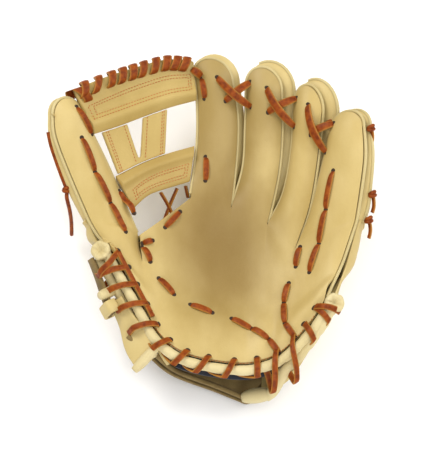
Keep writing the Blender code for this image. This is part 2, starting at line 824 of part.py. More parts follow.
def strap_grid():
    """The panel stands clear of the laced edge and lies against the back further in."""
    laced_inset = -(BINDING_RADIUS + EYELET_MARGIN + 2 * LACE_THICKNESS)
    rows = []
    for r in range(6):
        row = []
        for k in range(STRAP_STEPS + 1):
            share = STRAP_FIRST + (STRAP_LAST - STRAP_FIRST) * k / STRAP_STEPS
            inset = strap_outer(share) + STRAP_WIDTH * r / 5
            v = max(inset, 0.0) / math.dist(heel_place(share), root_place(share))
            place = body_place(share, v, min(inset, 0.0))
            over_laces = 2 * BINDING_RADIUS * (1 - smooth((inset + laced_inset) / STRAP_EASE))
            row.append(behind(place, back_depth_at(share, v) + STRAP_CLEARANCE + over_laces))
        rows.append(row)
    return rows


def tab_centre(share):
    """Middle of the strap's tab, on edge beside the panel's outer side: place, run, outwards and up."""
    surface, run, out, up = heel_frame(share)
    beyond = STRAP_REACH + STRAP_THICKNESS / 2 + 2 * GAP
    depth = heel_depth(STRAP_FIRST) + 2 * BINDING_RADIUS + STRAP_THICKNESS - TAB_WIDTH / 2
    return behind(heel_place(share, -beyond), depth), run, out, up


def tab_sections():
    shares = [TAB_FIRST + (TAB_LAST - TAB_FIRST) * k / 10 for k in range(11)]
    places = [tab_centre(share) for share in shares]
    return [(centre, up, out) for centre, run, out, up in places]


def keeper_sections():
    """A flat loop round the tab, as a ring of eight corners."""
    centre, run, out, up = tab_centre(KEEPER_PLACE)
    half_out = STRAP_THICKNESS / 2 + 2 * GAP + KEEPER_THICKNESS / 2
    half_up = TAB_WIDTH / 2 + 2 * GAP + KEEPER_THICKNESS / 2
    corner = KEEPER_THICKNESS / 2
    ring = (
        (half_out, half_up - corner), (half_out - corner, half_up),
        (corner - half_out, half_up), (-half_out, half_up - corner),
        (-half_out, corner - half_up), (corner - half_out, -half_up),
        (half_out - corner, -half_up), (half_out, corner - half_up),
    )
    return [(centre + out * a + up * b, run, (out * a / half_out + up * b / half_up)) for a, b in ring]


# Tie at the back of the thumb: a lace that lies along its wall, then hangs free.
def tie_route():
    away = WALL_INSET - GAP - TIE_RADIUS
    lay = [behind(finger_place("thumb", 0.0, v, away), depth) for v, depth in TIE_LAY]
    hang = [lay[-1] + Vector(step) * TIE_DROP for step in TIE_TAIL]
    route = [tuple(point) for point in lay + hang]
    return [Vector(along(route, k / TIE_POINTS)) for k in range(TIE_POINTS + 1)]


for finger in FINGERS:
    add_welt(finger)
add_binding("palm_binding", front_edge, KNOB, 1.0 - KNOB, 36)
add_binding("thumb_side_binding", back_edge, KNOB, THUMB_SIDE_END, 14)
add_binding("little_side_binding", back_edge, LITTLE_SIDE_START, 1.0 - KNOB, 14)
add_sheet("hand_lining", [lining_grid()], (0, 0, 1), LINING, lining_leather)

heel_turns = turn_shares(HEEL_LACE)
heel_eyelets = add_eyelets("heel_eyelets", heel_frame, heel_turns, heel_loop)
cut(palm_shell, heel_eyelets)
cut(hand_back, heel_eyelets)
add_lace("heel_lace", whip_sections(heel_frame, heel_turns, heel_loop))

web_top_bar = add_sheet(
    "web_top_bar", [bar_grid(WEB_TOP_EDGE, WEB_TOP_LOW_EDGE, 3, 10)], (0, 0, 1), WEB_THICKNESS, tan_leather
)
web_turns = turn_shares(WEB_LACE)
web_eyelets = add_eyelets("web_eyelets", web_frame, web_turns, web_loop)
cut(web_top_bar, web_eyelets)
add_lace("web_top_lace", whip_sections(web_frame, web_turns, web_loop))
add_sheet(
    "web_lower_bar", [bar_grid(WEB_LOW_TOP_EDGE, WEB_LOW_EDGE, 2, 8)], (0, 0, 1), WEB_THICKNESS, tan_leather
)
add_sheet("web_posts", post_grids(), (0, 0, 1), POST_THICKNESS, tan_leather)

for number, straps in enumerate(TIP_LACES, 1):
    add_tip_lace("fingertip_lace_" + str(number), straps)

add_sheet("wrist_strap", [strap_grid()], (0, 0, 1), STRAP_THICKNESS, strap_suede)
centres, across, normals = zip(*tab_sections())
add_strip("strap_tab", centres, across, normals, TAB_WIDTH, STRAP_THICKNESS, back_leather)
centres, across, normals = zip(*keeper_sections())
add_strip("strap_keeper", centres, across, normals, KEEPER_WIDTH, KEEPER_THICKNESS, back_leather, closed=True)
add_tube("thumb_tie_lace", tie_route(), TIE_RADIUS, lace_leather)
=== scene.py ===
import math

import bmesh
import bpy
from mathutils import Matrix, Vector
from mathutils.bvhtree import BVHTree


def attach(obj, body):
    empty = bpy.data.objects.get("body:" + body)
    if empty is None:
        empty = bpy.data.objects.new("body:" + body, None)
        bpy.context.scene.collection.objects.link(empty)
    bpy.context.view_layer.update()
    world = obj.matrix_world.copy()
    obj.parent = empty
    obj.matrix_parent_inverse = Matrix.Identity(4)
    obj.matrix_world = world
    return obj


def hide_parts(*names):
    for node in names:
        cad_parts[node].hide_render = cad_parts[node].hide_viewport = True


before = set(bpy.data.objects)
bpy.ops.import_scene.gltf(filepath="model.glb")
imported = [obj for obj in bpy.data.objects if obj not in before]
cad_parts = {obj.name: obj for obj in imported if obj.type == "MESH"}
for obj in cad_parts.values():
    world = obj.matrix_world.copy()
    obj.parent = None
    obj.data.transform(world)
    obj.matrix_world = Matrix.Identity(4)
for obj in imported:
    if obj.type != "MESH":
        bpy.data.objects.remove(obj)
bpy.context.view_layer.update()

# Studio. The glove lies palm up on a plain pale floor, and the camera looks down into the pocket from
# the heel's side, 70 degrees above the floor. Four large soft lights stand round it, the strongest at the
# upper left, so the fingers keep a soft gloss and the pocket stays in its own shade.
CAMERA_ELEVATION = math.radians(70)
CAMERA_DISTANCE = 1.30
CAMERA_LENS = 124.5
CAMERA_TARGET = Vector((-0.0186, 0.0176, 0.045))
LIGHTS = (
    # name, place, width, watts, colour
    ("key_light", (-0.75, 0.75, 1.25), 0.8, 14.5, (1.0, 0.98, 0.95)),
    ("top_light", (0.35, -0.10, 1.60), 1.2, 9.0, (1.0, 0.99, 0.97)),
    ("heel_light", (0.10, -1.25, 0.75), 0.9, 8.0, (1.0, 0.98, 0.96)),
    ("right_light", (1.15, 0.30, 0.70), 0.7, 6.5, (0.98, 0.99, 1.0)),
)
LIT_PLACE = (0.0, 0.0, 0.04)
SKY_STRENGTH = 0.55
FLOOR_CORNERS = [(-4, -4, 0), (4, -4, 0), (4, 4, 0), (-4, 4, 0)]
FLOOR_PAINT = (0.93, 0.93, 0.93)


def placed(name, data):
    """An object with this data, linked into the scene."""
    thing = bpy.data.objects.new(name, data)
    bpy.context.scene.collection.objects.link(thing)
    return thing


def aim(thing, place, target):
    thing.location = place
    thing.rotation_euler = (Vector(target) - Vector(place)).to_track_quat("-Z", "Y").to_euler()


def new_finish(name, colour, roughness):
    """A material whose first shader has this colour and roughness, and the shader itself."""
    made = bpy.data.materials.new(name)
    made.use_nodes = True
    made.diffuse_color = (*colour, 1.0)
    shader = made.node_tree.nodes["Principled BSDF"]
    shader.inputs["Base Color"].default_value = (*colour, 1.0)
    shader.inputs["Roughness"].default_value = roughness
    return made, shader


camera_data = bpy.data.cameras.new("camera")
camera_data.lens = CAMERA_LENS
camera_data.sensor_width = 36.0
camera_data.sensor_fit = "AUTO"
camera_data.clip_end = 20.0
camera = placed("camera", camera_data)
step_back = Vector((0.0, -math.cos(CAMERA_ELEVATION), math.sin(CAMERA_ELEVATION)))
aim(camera, CAMERA_TARGET + step_back * CAMERA_DISTANCE, CAMERA_TARGET)
bpy.context.scene.camera = camera

for name, place, width, watts, colour in LIGHTS:
    lamp = bpy.data.lights.new(name, "AREA")
    lamp.shape = "DISK"
    lamp.size = width
    lamp.energy = watts
    lamp.color = colour
    aim(placed(name, lamp), place, LIT_PLACE)

world = bpy.data.worlds.new("studio")
bpy.context.scene.world = world
world.use_nodes = True
world.node_tree.nodes["Background"].inputs["Color"].default_value = (1.0, 1.0, 1.0, 1.0)
world.node_tree.nodes["Background"].inputs["Strength"].default_value = SKY_STRENGTH
bpy.context.scene.view_settings.view_transform = "Standard"

floor_mesh = bpy.data.meshes.new("floor")
floor_mesh.from_pydata(FLOOR_CORNERS, [], [(0, 1, 2, 3)])
floor_mesh.materials.append(new_finish("floor_paint", FLOOR_PAINT, 0.9)[0])
floor = placed("floor", floor_mesh)


# Tie at the back of the thumb. The real one is a rawhide lace, 3 mm thick, knotted where it leaves the
# thumb's wall and then hanging free. It lies along the leather above the knot.
TIE_RADIUS = 0.0016
TIE_STEPS = 32
KNOT_RADIUS = 0.0022
KNOT_TURNS = 30
KNOT_SIDES = 8
RAWHIDE = (0.235, 0.047, 0.003)
RAWHIDE_DARK = (0.115, 0.020, 0.002)
RAWHIDE_PALE = (0.34, 0.084, 0.006)
RAWHIDE_OILED = (0.17, 0.030, 0.006)
RAWHIDE_CUT = (0.38, 0.17, 0.028)
TIE_ROUTE = (
    # x, y, z of the places it passes, in metres
    (-0.15162, 0.08555, 0.09137),
    (-0.14968, 0.07665, 0.08654),
    (-0.14581, 0.06578, 0.08023),
    (-0.14165, 0.05515, 0.07421),
    (-0.13773, 0.04546, 0.06893),
    (-0.13773, 0.03986, 0.06389),
    (-0.13661, 0.03538, 0.04877),
    (-0.13661, 0.03146, 0.03085),
    (-0.13773, 0.02698, 0.01293),
)


def along(points, t):
    """A smooth curve through the points, with t from 0 to 1 and each stretch an equal share of it."""
    last = len(points) - 1
    place = min(max(t, 0.0), 1.0) * last
    i = min(int(place), last - 1)
    f = place - i
    near = [points[min(max(k, 0), last)] for k in (i - 1, i, i + 1, i + 2)]
    return tuple(
        0.5 * (2 * b + (c - a) * f + (2 * a - 5 * b + 4 * c - d) * f * f + (3 * b - a - 3 * c + d) * f**3)
        for a, b, c, d in zip(*near)
    )


def spread(first, last, count):
    """Evenly spaced values from first to last, in this many steps."""
    return [first + (last - first) * k / count for k in range(count + 1)]


def set_inputs(tree, node, values):
    """Gives a node's inputs, by name or number, a value or another node's output."""
    for name, value in values.items():
        named = [s for s in node.inputs if s.name == name] or [node.inputs[name]]
        target = next((s for s in named if s.enabled), named[0])
        if isinstance(value, bpy.types.NodeSocket):
            tree.links.new(value, target)
        else:
            target.default_value = value


def add_node(tree, kind, values, **settings):
    node = tree.nodes.new(kind)
    for name, value in settings.items():
        setattr(node, name, value)
    set_inputs(tree, node, values)
    return node


def live(node):
    """The first output in use."""
    return next(s for s in node.outputs if s.enabled)


def add_noise(tree, where, scale, detail, stretch=(1.0, 1.0, 1.0)):
    """A noise texture on the coordinates given by where, stretched along the axes."""
    flat = add_node(tree, "ShaderNodeMapping", {"Vector": where, "Scale": stretch})
    values = {"Vector": flat.outputs["Vector"], "Scale": scale, "Detail": detail}
    return add_node(tree, "ShaderNodeTexNoise", values).outputs["Fac"]


def ramp(tree, value, stops):
    """Colours at the given places of a value."""
    node = tree.nodes.new("ShaderNodeValToRGB")
    tree.links.new(value, node.inputs["Fac"])
    marks = node.color_ramp.elements
    while len(marks) < len(stops):
        marks.new(0.5)
    for mark, (place, colour) in zip(marks, stops):
        mark.position = place
        mark.color = (*colour, 1.0)
    return node.outputs["Color"]


def blend(tree, share, first, second):
    """The first colour mixed with the second by the share."""
    node = tree.nodes.new("ShaderNodeMix")
    node.data_type = "RGBA"
    first, second = [c if isinstance(c, bpy.types.NodeSocket) else (*c, 1.0) for c in (first, second)]
    set_inputs(tree, node, {"Factor": share, "A": first, "B": second})
    return live(node)


def maths(tree, kind, first, second):
    return add_node(tree, "ShaderNodeMath", {0: first, 1: second}, operation=kind).outputs[0]


def add_bumps(tree, shader, layers):
    """Height layers of (value, strength, distance), one over the other, into the shader's normal."""
    last = {}
    for value, strength, distance in layers:
        values = {"Strength": strength, "Distance": distance, "Height": value, **last}
        bump = add_node(tree, "ShaderNodeBump", values)
        last = {"Normal": bump.outputs["Normal"]}
    set_inputs(tree, shader, last)


def rawhide_finish():
    """Oiled lacing leather: rust-red faces with darker streaks, and paler cut edges on flat lacing."""
    made, shader = new_finish("rawhide_lace", RAWHIDE, 0.52)
    tree = made.node_tree
    where = tree.nodes.new("ShaderNodeTexCoord").outputs["Object"]
    streaks = add_noise(tree, where, 260.0, 4.0)
    blotches = add_noise(tree, where, 55.0, 2.0)
    face = ramp(tree, streaks, ((0.30, RAWHIDE_DARK), (0.52, RAWHIDE), (0.75, RAWHIDE_PALE)))
    face = blend(tree, maths(tree, "MULTIPLY", blotches, 0.45), face, RAWHIDE_OILED)
    edge = add_node(tree, "ShaderNodeAttribute", {}, attribute_name="cut_edge")
    colour = blend(tree, edge.outputs["Fac"], face, RAWHIDE_CUT)
    set_inputs(tree, shader, {
        "Base Color": colour, "Coat Weight": 0.04, "Specular IOR Level": 0.13, "Coat Roughness": 0.35,
    })
    add_bumps(tree, shader, ((streaks, 0.35, 0.0004), (blotches, 0.3, 0.0008)))
    return made


def outward(piece):
    """Faces the closed mesh outwards."""
    work = bmesh.new()
    work.from_mesh(piece.data)
    bmesh.ops.recalc_face_normals(work, faces=work.faces)
    if work.calc_volume(signed=True) < 0:
        bmesh.ops.reverse_faces(work, faces=work.faces)
    work.to_mesh(piece.data)
    work.free()


def solid(name, verts, faces, finish):
    """A smooth closed mesh object in the frame."""
    mesh = bpy.data.meshes.new(name)
    mesh.from_pydata(verts, [], faces)
    mesh.validate()
    mesh.materials.append(finish)
    mesh.shade_smooth()
    piece = placed(name, mesh)
    outward(piece)
    return piece


def wrapped(rings, sides, closed=False):
    """Faces between rings of points, with a cap at each end or joined into a loop."""
    faces = []
    for k in range(rings if closed else rings - 1):
        low, high = k * sides, (k + 1) % rings * sides
        for s in range(sides):
            n = (s + 1) % sides
            faces.append((low + s, low + n, high + n, high + s))
    if not closed:
        faces.append(tuple(range(sides))[::-1])
        faces.append(tuple((rings - 1) * sides + s for s in range(sides)))
    return faces


def fix_on(piece, node=None):
    """Fixes a piece to the glove, and hides the solid that it stands for when one is given."""
    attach(piece, "root")
    if node:
        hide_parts(node)
    return piece


def add_knot(name, centre, axis, thickness):
    """An overhand knot pulled tight: two turns of lace side by side round an axis."""
    axis = Vector(axis).normalized()
    first = axis.orthogonal().normalized()
    second = axis.cross(first)
    verts = []
    for k in range(KNOT_TURNS):
        angle = 4 * math.pi * k / KNOT_TURNS
        slide = axis * thickness * 0.9 * math.sin(2 * math.pi * k / KNOT_TURNS)
        out = first * math.cos(angle) + second * math.sin(angle)
        middle = Vector(centre) + out * KNOT_RADIUS * (1 + 0.15 * math.sin(angle * 1.5)) + slide
        for s in range(KNOT_SIDES):
            turn = 2 * math.pi * s / KNOT_SIDES
            verts.append(middle + (out * math.cos(turn) + axis * math.sin(turn)) * thickness)
    return fix_on(solid(name, verts, wrapped(KNOT_TURNS, KNOT_SIDES, True), rawhide_lace))


rawhide_lace = rawhide_finish()

tie_curve = bpy.data.curves.new("thumb_tie", "CURVE")
tie_curve.dimensions = "3D"
tie_curve.bevel_depth = TIE_RADIUS
tie_curve.bevel_resolution = 3
tie_curve.use_fill_caps = True
tie_line = tie_curve.splines.new("POLY")
tie_points = [Vector(along(TIE_ROUTE, t)) for t in spread(0.0, 1.0, TIE_STEPS)]
tie_line.points.add(TIE_STEPS)
for knot_place, tie_point in zip(tie_line.points, tie_points):
    knot_place.co = (*tie_point, 1.0)
tie_curve.materials.append(rawhide_lace)
thumb_tie = placed("thumb_tie", tie_curve)

fix_on(thumb_tie, "thumb_tie_lace")
tie_knot = add_knot("tie_knot", TIE_ROUTE[4], Vector(TIE_ROUTE[5]) - Vector(TIE_ROUTE[3]), 0.0015)


# Palm. The real one is a single piece of steer hide, 3 mm thick, with the fronts of all five fingers
# left on it and slits between them. It is moulded to a deep pocket, is crowned along each finger and is
# padded at the heel on both sides of the pocket. All other pieces are laid out on it.
THUMB_REACH = 0.143
LITTLE_REACH = 0.096
TIP_REACH = 0.157
HEEL_REACH = 0.098
POCKET_HEIGHT = 0.038
THUMB_RISE = 0.053
LITTLE_RISE = 0.044
TIP_RISE = 0.0375
HEEL_RISE = 0.017
LEATHER = 0.003
EDGE_DROP = 0.005
BINDING_RADIUS = 0.004
BINDING_GAP = 0.0007
PALM_COLUMNS = 22
PALM_ROWS = 44
FRONT_ROWS = 60
CROWN = 0.0022
PAD_RISE = 0.0030
FOLD_SINK = 0.0026
LACE_SINK = 0.0011
LACE_SINK_WIDTH = 0.0034
PAD_END = 0.44
FOLD_PLACE = 0.215
THUMB_RIDGE = 0.13

# Where the heel's padding is thinner.
PAD_HOLLOWS = (
    # heel share of the middle, width, how much of the padding is missing
    (0.60, 0.035, 0.75),
    (0.735, 0.030, 0.75),
    (0.30, 0.040, 0.5),
)

# Share of the way round the heel, from the thumb's knob to the little finger's, where each finger's
# strip of palm begins, with the place of its root. Places are shares of the four reaches.
ROOTS = (
    # heel share, root x, root y
    (0.00, -0.802, 0.113),
    (0.22, -0.546, 0.086),
    (0.40, -0.267, 0.310),
    (0.53, -0.039, 0.255),
    (0.66, 0.247, 0.159),
    (0.82, 0.469, 0.002),
    (1.00, 0.927, 0.104),
)

# The heel's edge, from the thumb's knob round to the little finger's, with the depth of the back's
# edge there as a share of the hand's depth.
HEEL_EDGE = (
    # x, y, depth of the back
    (-0.735, -0.060, 0.27),
    (-0.650, -0.269, 0.27),
    (-0.537, -0.563, 0.28),
    (-0.453, -0.781, 0.30),
    (-0.300, -0.945, 0.64),
    (-0.032, -1.019, 0.92),
    (0.171, -1.004, 0.97),
    (0.380, -0.915, 0.74),
    (0.612, -0.692, 0.32),
    (0.740, -0.500, 0.27),
)

# Outline of each finger's front, its strip of the palm, which sides are the glove's outside, and the
# depth of its back at root and tip.
FINGERS = {
    "thumb": {
        "strip": 0,
        "left": ((-0.915, 0.335), (-0.989, 0.501), (-1.001, 0.600)),
        "right": ((-0.689, 0.371), (-0.779, 0.530), (-0.850, 0.630)),
        "tip": (-0.935, 0.705),
        "outside": (True, True),
        "depth": (0.70, 0.46),
    },
    "index": {
        "strip": 2,
        "left": ((-0.225, 0.572), (-0.222, 0.780), (-0.240, 0.930)),
        "right": ((-0.005, 0.548), (-0.001, 0.739), (-0.035, 0.915)),
        "tip": (-0.145, 1.003),
        "outside": (True, False),
        "depth": (1.00, 0.58),
    },
    "middle": {
        "strip": 3,
        "left": ((0.045, 0.470), (0.067, 0.680), (0.074, 0.880)),
        "right": ((0.335, 0.450), (0.361, 0.665), (0.352, 0.850)),
        "tip": (0.207, 0.960),
        "outside": (False, False),
        "depth": (1.00, 0.58),
    },
    "ring": {
        "strip": 4,
        "left": ((0.375, 0.340), (0.440, 0.560), (0.455, 0.760)),
        "right": ((0.585, 0.255), (0.650, 0.490), (0.683, 0.700)),
        "tip": (0.578, 0.845),
        "outside": (False, False),
        "depth": (0.96, 0.56),
    },
    "little": {
        "strip": 5,
        "left": ((0.592, 0.225), (0.685, 0.440), (0.745, 0.590)),
        "right": ((0.970, 0.260), (1.005, 0.430), (0.995, 0.585)),
        "tip": (0.865, 0.672),
        "outside": (False, True),
        "depth": (0.80, 0.52),
    },
}

# Laces sewn through the palm in long stitches, each a chain of holes that it goes down and up through.
SEWN_LACES = {
    "index_base": ((-0.182, 0.518), (-0.184, 0.395)),
    "index_top": ((-0.206, 0.909), (-0.188, 0.811)),
    "little_run": ((0.804, 0.382), (0.739, 0.189), (0.669, 0.020), (0.587, -0.199)),
    "slit_base": ((0.517, 0.020), (0.478, -0.131)),
    "crotch_side": ((-0.329, 0.223), (-0.411, 0.133)),
    "crotch_end": ((-0.480, 0.054), (-0.530, 0.037)),
    "fold": ((-0.530, 0.018), (-0.490, -0.098)),
    "heel_pad_1": ((-0.443, -0.237), (-0.360, -0.374)),
    "heel_pad_2": ((-0.269, -0.458), (-0.147, -0.523)),
    "heel_chain_1": ((-0.038, -0.573), (0.108, -0.660), (0.249, -0.763), (0.327, -0.885)),
    "heel_chain_2": ((0.418, -0.270), (0.376, -0.438), (0.388, -0.637), (0.458, -0.760)),
    "thumb_run": ((-0.878, 0.519), (-0.806, 0.362), (-0.718, 0.218), (-0.634, 0.078)),
    "thumb_top": ((-0.900, 0.666), (-0.819, 0.552)),
    "thumb_low": ((-0.659, 0.296), (-0.586, 0.187)),
}


def smooth(t):
    """A step from 0 to 1 with level ends."""
    t = min(max(t, 0.0), 1.0)
    return t * t * (3 - 2 * t)


def mix(a, b, t):
    return tuple(p + (q - p) * t for p, q in zip(a, b))


def plan(share):
    """Metres in plan from shares of the four reaches."""
    x, y = share[:2]
    return (x * (LITTLE_REACH if x > 0 else THUMB_REACH), y * (TIP_REACH if y > 0 else HEEL_REACH))


def palm_height(x, y):
    across = THUMB_RISE * (x / THUMB_REACH) ** 2 if x < 0 else LITTLE_RISE * (x / LITTLE_REACH) ** 2
    ahead = TIP_RISE * (y / TIP_REACH) ** 2 if y > 0 else HEEL_RISE * (y / HEEL_REACH) ** 2
    return POCKET_HEIGHT + across + ahead


def palm_normal(x, y):
    slope_x = 2 * x * (THUMB_RISE / THUMB_REACH**2 if x < 0 else LITTLE_RISE / LITTLE_REACH**2)
    slope_y = 2 * y * (TIP_RISE / TIP_REACH**2 if y > 0 else HEEL_RISE / HEEL_REACH**2)
    return Vector((-slope_x, -slope_y, 1.0)).normalized()


def behind(place, depth):
    """The point at this depth behind the palm's face, never under the floor."""
    point = Vector((*place, palm_height(*place))) - palm_normal(*place) * depth
    point.z = max(point.z, 0.0)
    return point


def heel_place(share, inset=0.0):
    """A place on the heel's edge, moved in towards the palm by inset."""
    x, y = plan(along(HEEL_EDGE, share))
    step = 0.01
    ahead = plan(along(HEEL_EDGE, share + step))
    back = plan(along(HEEL_EDGE, share - step))
    run = Vector((ahead[0] - back[0], ahead[1] - back[1])).normalized()
    return (x - run.y * inset, y + run.x * inset)


def root_place(share):
    for (s0, *a), (s1, *b) in zip(ROOTS, ROOTS[1:]):
        if share <= s1:
            return mix(plan(a), plan(b), (share - s0) / (s1 - s0))
    return plan(ROOTS[-1][1:])


def body_place(share, v, inset):
    return mix(heel_place(share, inset), root_place(share), v)


def finger_place(finger, u, v, inset=0.0):
    """A place on a finger's front: u runs across it, v from its root to its tip."""
    row = FINGERS[finger]
    strip = row["strip"]
    left = [plan(ROOTS[strip][1:])] + [plan(p) for p in row["left"]]
    right = [plan(ROOTS[strip + 1][1:])] + [plan(p) for p in row["right"]]
    a, b = along(left, v), along(right, v)
    margin = inset / math.dist(a, b)
    x, y = mix(a, b, margin + u * (1 - 2 * margin))
    shoulders = mix(left[-1], right[-1], 0.5)
    tip = plan(row["tip"])
    bulge = Vector((tip[0] - shoulders[0], tip[1] - shoulders[1]))
    bulge -= bulge.normalized() * inset
    reach = math.sqrt(max(0.0, 1 - (2 * u - 1) ** 2)) * smooth((v - 0.45) / 0.55)
    return (x + bulge.x * reach, y + bulge.y * reach)


def side_drop(u):
    return abs(2 * u - 1) ** 3


def finger_drop(finger, u, v):
    """How far the front falls away towards a finger's edges."""
    outside = FINGERS[finger]["outside"][0 if u < 0.5 else 1]
    side = side_drop(u) * (1.0 if outside and finger != "index" else smooth(v / 0.3))
    end = smooth((v - 0.75) / 0.25) ** 2
    return EDGE_DROP * (1 - (1 - side) * (1 - end))


def body_drop(strip, u, v):
    if strip == 0 and u < 0.5 or strip == 5 and u > 0.5:
        return EDGE_DROP * side_drop(u) * smooth(v / 0.6)
    if strip == 0:
        return EDGE_DROP * side_drop(u) * smooth((v - 0.6) / 0.4)
    return 0.0


def strip_share(strip, u):
    first, last = ROOTS[strip][0], ROOTS[strip + 1][0]
    return first + (last - first) * u


def hump(x, width):
    return math.exp(-((x / width) ** 2))


def columns(count):
    """Shares across a strip, closer together towards its edges."""
    return [(1 - math.cos(math.pi * k / count)) / 2 for k in range(count + 1)]


lace_holes = [plan(hole) for chain in SEWN_LACES.values() for hole in chain]


def hole_sink(place):
    """How far the leather is pulled in round the holes of the laces."""
    gap = min(math.dist(place, hole) for hole in lace_holes)
    return LACE_SINK * hump(gap, LACE_SINK_WIDTH) if gap < 3 * LACE_SINK_WIDTH else 0.0


def body_relief(strip, u, v):
    """How far the padding and folds lift the palm's face."""
    share = strip_share(strip, u)
    thinner = sum(missing * hump(share - middle, width) for middle, width, missing in PAD_HOLLOWS)
    pad = PAD_RISE * math.sin(math.pi * min(v / PAD_END, 1.0)) ** 2 * (1 - thinner)
    fold = FOLD_SINK * hump(share - FOLD_PLACE, 0.020) * smooth((v - 0.35) / 0.5)
    ridge = CROWN * hump(share - THUMB_RIDGE, 0.05) * smooth((v - 0.3) / 0.5)
    knuckles = 0.0
    if strip in (2, 3, 4):
        knuckles = CROWN * (1 - (2 * u - 1) ** 2) * smooth((v - 0.75) / 0.25)
    return pad - fold + ridge + knuckles


def finger_relief(finger, u, v):
    crown = CROWN * (1 - abs(2 * u - 1) ** 2.0) * (1 - 0.6 * smooth((v - 0.8) / 0.2))
    if FINGERS[finger]["strip"] in (0, 5):
        crown *= smooth(v / 0.3)
    return crown


def front_drop(finger, u, v):
    """The front falls away softly over its whole width, and rolls over its seam at the very edge."""
    outside = FINGERS[finger]["outside"][0 if u < 0.5 else 1]
    across = abs(2 * u - 1)
    side = across**2.6 * (1.0 if outside and finger != "index" else smooth(v / 0.3))
    end = smooth((v - 0.72) / 0.28) ** 2.2
    return EDGE_DROP * (1 - (1 - side) * (1 - end))


def front_point(finger, u, v):
    place = finger_place(finger, u, v)
    return behind(place, front_drop(finger, u, v) - finger_relief(finger, u, v) + hole_sink(place))


def palm_point(strip, u, v):
    place = body_place(strip_share(strip, u), v, BINDING_RADIUS + BINDING_GAP)
    return behind(place, body_drop(strip, u, v) - body_relief(strip, u, v) + hole_sink(place))


def sheet_mesh(name, grids, towards, join=1.5e-5):
    """One sheet from grids of points whose shared edges coincide, facing towards the given direction."""
    sheet = bmesh.new()
    for grid in grids:
        rows = [[sheet.verts.new(point) for point in row] for row in grid]
        for low, high in zip(rows, rows[1:]):
            for a, b, c, d in zip(low, low[1:], high[1:], high):
                sheet.faces.new((a, b, c, d))
    bmesh.ops.remove_doubles(sheet, verts=sheet.verts, dist=join)
    bmesh.ops.dissolve_degenerate(sheet, edges=sheet.edges, dist=1e-6)
    bmesh.ops.recalc_face_normals(sheet, faces=sheet.faces)
    facing = sum((face.normal * face.calc_area() for face in sheet.faces), Vector())
    if facing.dot(Vector(towards)) < 0:
        bmesh.ops.reverse_faces(sheet, faces=sheet.faces)
    mesh = bpy.data.meshes.new(name)
    sheet.to_mesh(mesh)
    sheet.free()
    return mesh


def add_hide(name, grids, towards, thickness, finish, edge=0.0009, relax=0, join=1.5e-5):
    """A sheet of leather with rounded cut edges: its given face looks outwards, its thickness is behind."""
    mesh = sheet_mesh(name, grids, towards, join)
    mesh.materials.append(finish)
    piece = placed(name, mesh)
    if relax:
        ease = piece.modifiers.new("ease", "SMOOTH")
        ease.iterations = relax
        ease.factor = 0.5
    wall = piece.modifiers.new("thickness", "SOLIDIFY")
    wall.thickness = thickness
    wall.offset = -1.0
    wall.use_even_offset = False
    if edge:
        trim = piece.modifiers.new("edge", "BEVEL")
        trim.width = edge
        trim.segments = 2
        trim.limit_method = "ANGLE"
        trim.angle_limit = math.radians(50)
    return settled(piece)


def settled(piece):
    """The object with its modifiers made part of a plain, smooth mesh."""
    graph = bpy.context.evaluated_depsgraph_get()
    mesh = bpy.data.meshes.new_from_object(piece.evaluated_get(graph))
    piece.modifiers.clear()
    piece.data = mesh
    mesh.name = piece.name
    mesh.shade_smooth()
    return piece


# Painted shade in the palm's colour: darker in the pocket, and over the first finger and upper palm.
PAINTED_SHADE_AREAS = (
    # middle and stretch of the area, distance with none of the painted shade, with all of it, and the most of
    # it
    ((-0.014, 0.006, 0.022), (1.0, 0.70, 0.6), 0.100, 0.014, 0.88),
    ((-0.013, 0.082, 0.030), (0.72, 0.60, 0.6), 0.084, 0.034, 0.54),
)


def leather_finish(name, light, warm, pocket=None):
    """Blond hide: a fine grain, soft creases and slight mottling, with painted shade darkening the pocket and
    the upper palm when a pocket colour is given.
    """
    made, shader = new_finish(name, light, 0.46)
    tree = made.node_tree
    where = tree.nodes.new("ShaderNodeTexCoord").outputs["Object"]
    mottle = add_noise(tree, where, 26.0, 5.0, (1.0, 0.6, 1.0))
    pores = add_noise(tree, where, 620.0, 3.0)
    creases = add_noise(tree, where, 95.0, 6.0, (1.0, 0.35, 1.0))
    colour = ramp(tree, mottle, ((0.28, warm), (0.62, light), (0.85, tuple(min(1.0, c * 1.04) for c in light))))
    # Painted shade: the colour is blended towards the darker pocket colour near each of these areas.
    for centre, stretch, none_at, full_at, most in PAINTED_SHADE_AREAS if pocket else ():
        flat = add_node(tree, "ShaderNodeMapping", {"Vector": where, "Scale": stretch})
        ends = {0: flat.outputs["Vector"], 1: centre}
        away = add_node(tree, "ShaderNodeVectorMath", ends, operation="DISTANCE")
        reach = maths(tree, "ADD", away.outputs["Value"], maths(tree, "MULTIPLY", mottle, 0.03))
        near = add_node(
            tree, "ShaderNodeMapRange",
            {"Value": reach, "From Min": none_at, "From Max": full_at, "To Min": 0.0, "To Max": most},
            interpolation_type="SMOOTHERSTEP",
        )
        colour = blend(tree, near.outputs["Result"], colour, pocket)
    colour = blend(tree, maths(tree, "MULTIPLY", pores, 0.16), colour, tuple(c * 0.72 for c in warm))
    gloss = add_node(tree, "ShaderNodeMapRange", {"Value": creases, "To Min": 0.40, "To Max": 0.56})
    grain = add_node(tree, "ShaderNodeTexVoronoi", {"Vector": where, "Scale": 900.0})
    set_inputs(tree, shader, {
        "Base Color": colour, "Roughness": gloss.outputs["Result"], "Specular IOR Level": 0.32,
        "Sheen Weight": 0.02, "Sheen Roughness": 0.4,
    })
    add_bumps(tree, shader, (
        (mottle, 0.35, 0.0022), (creases, 0.42, 0.0007), (grain.outputs["Distance"], 0.16, 0.00025),
        (pores, 0.12, 0.0002),
    ))
    return made


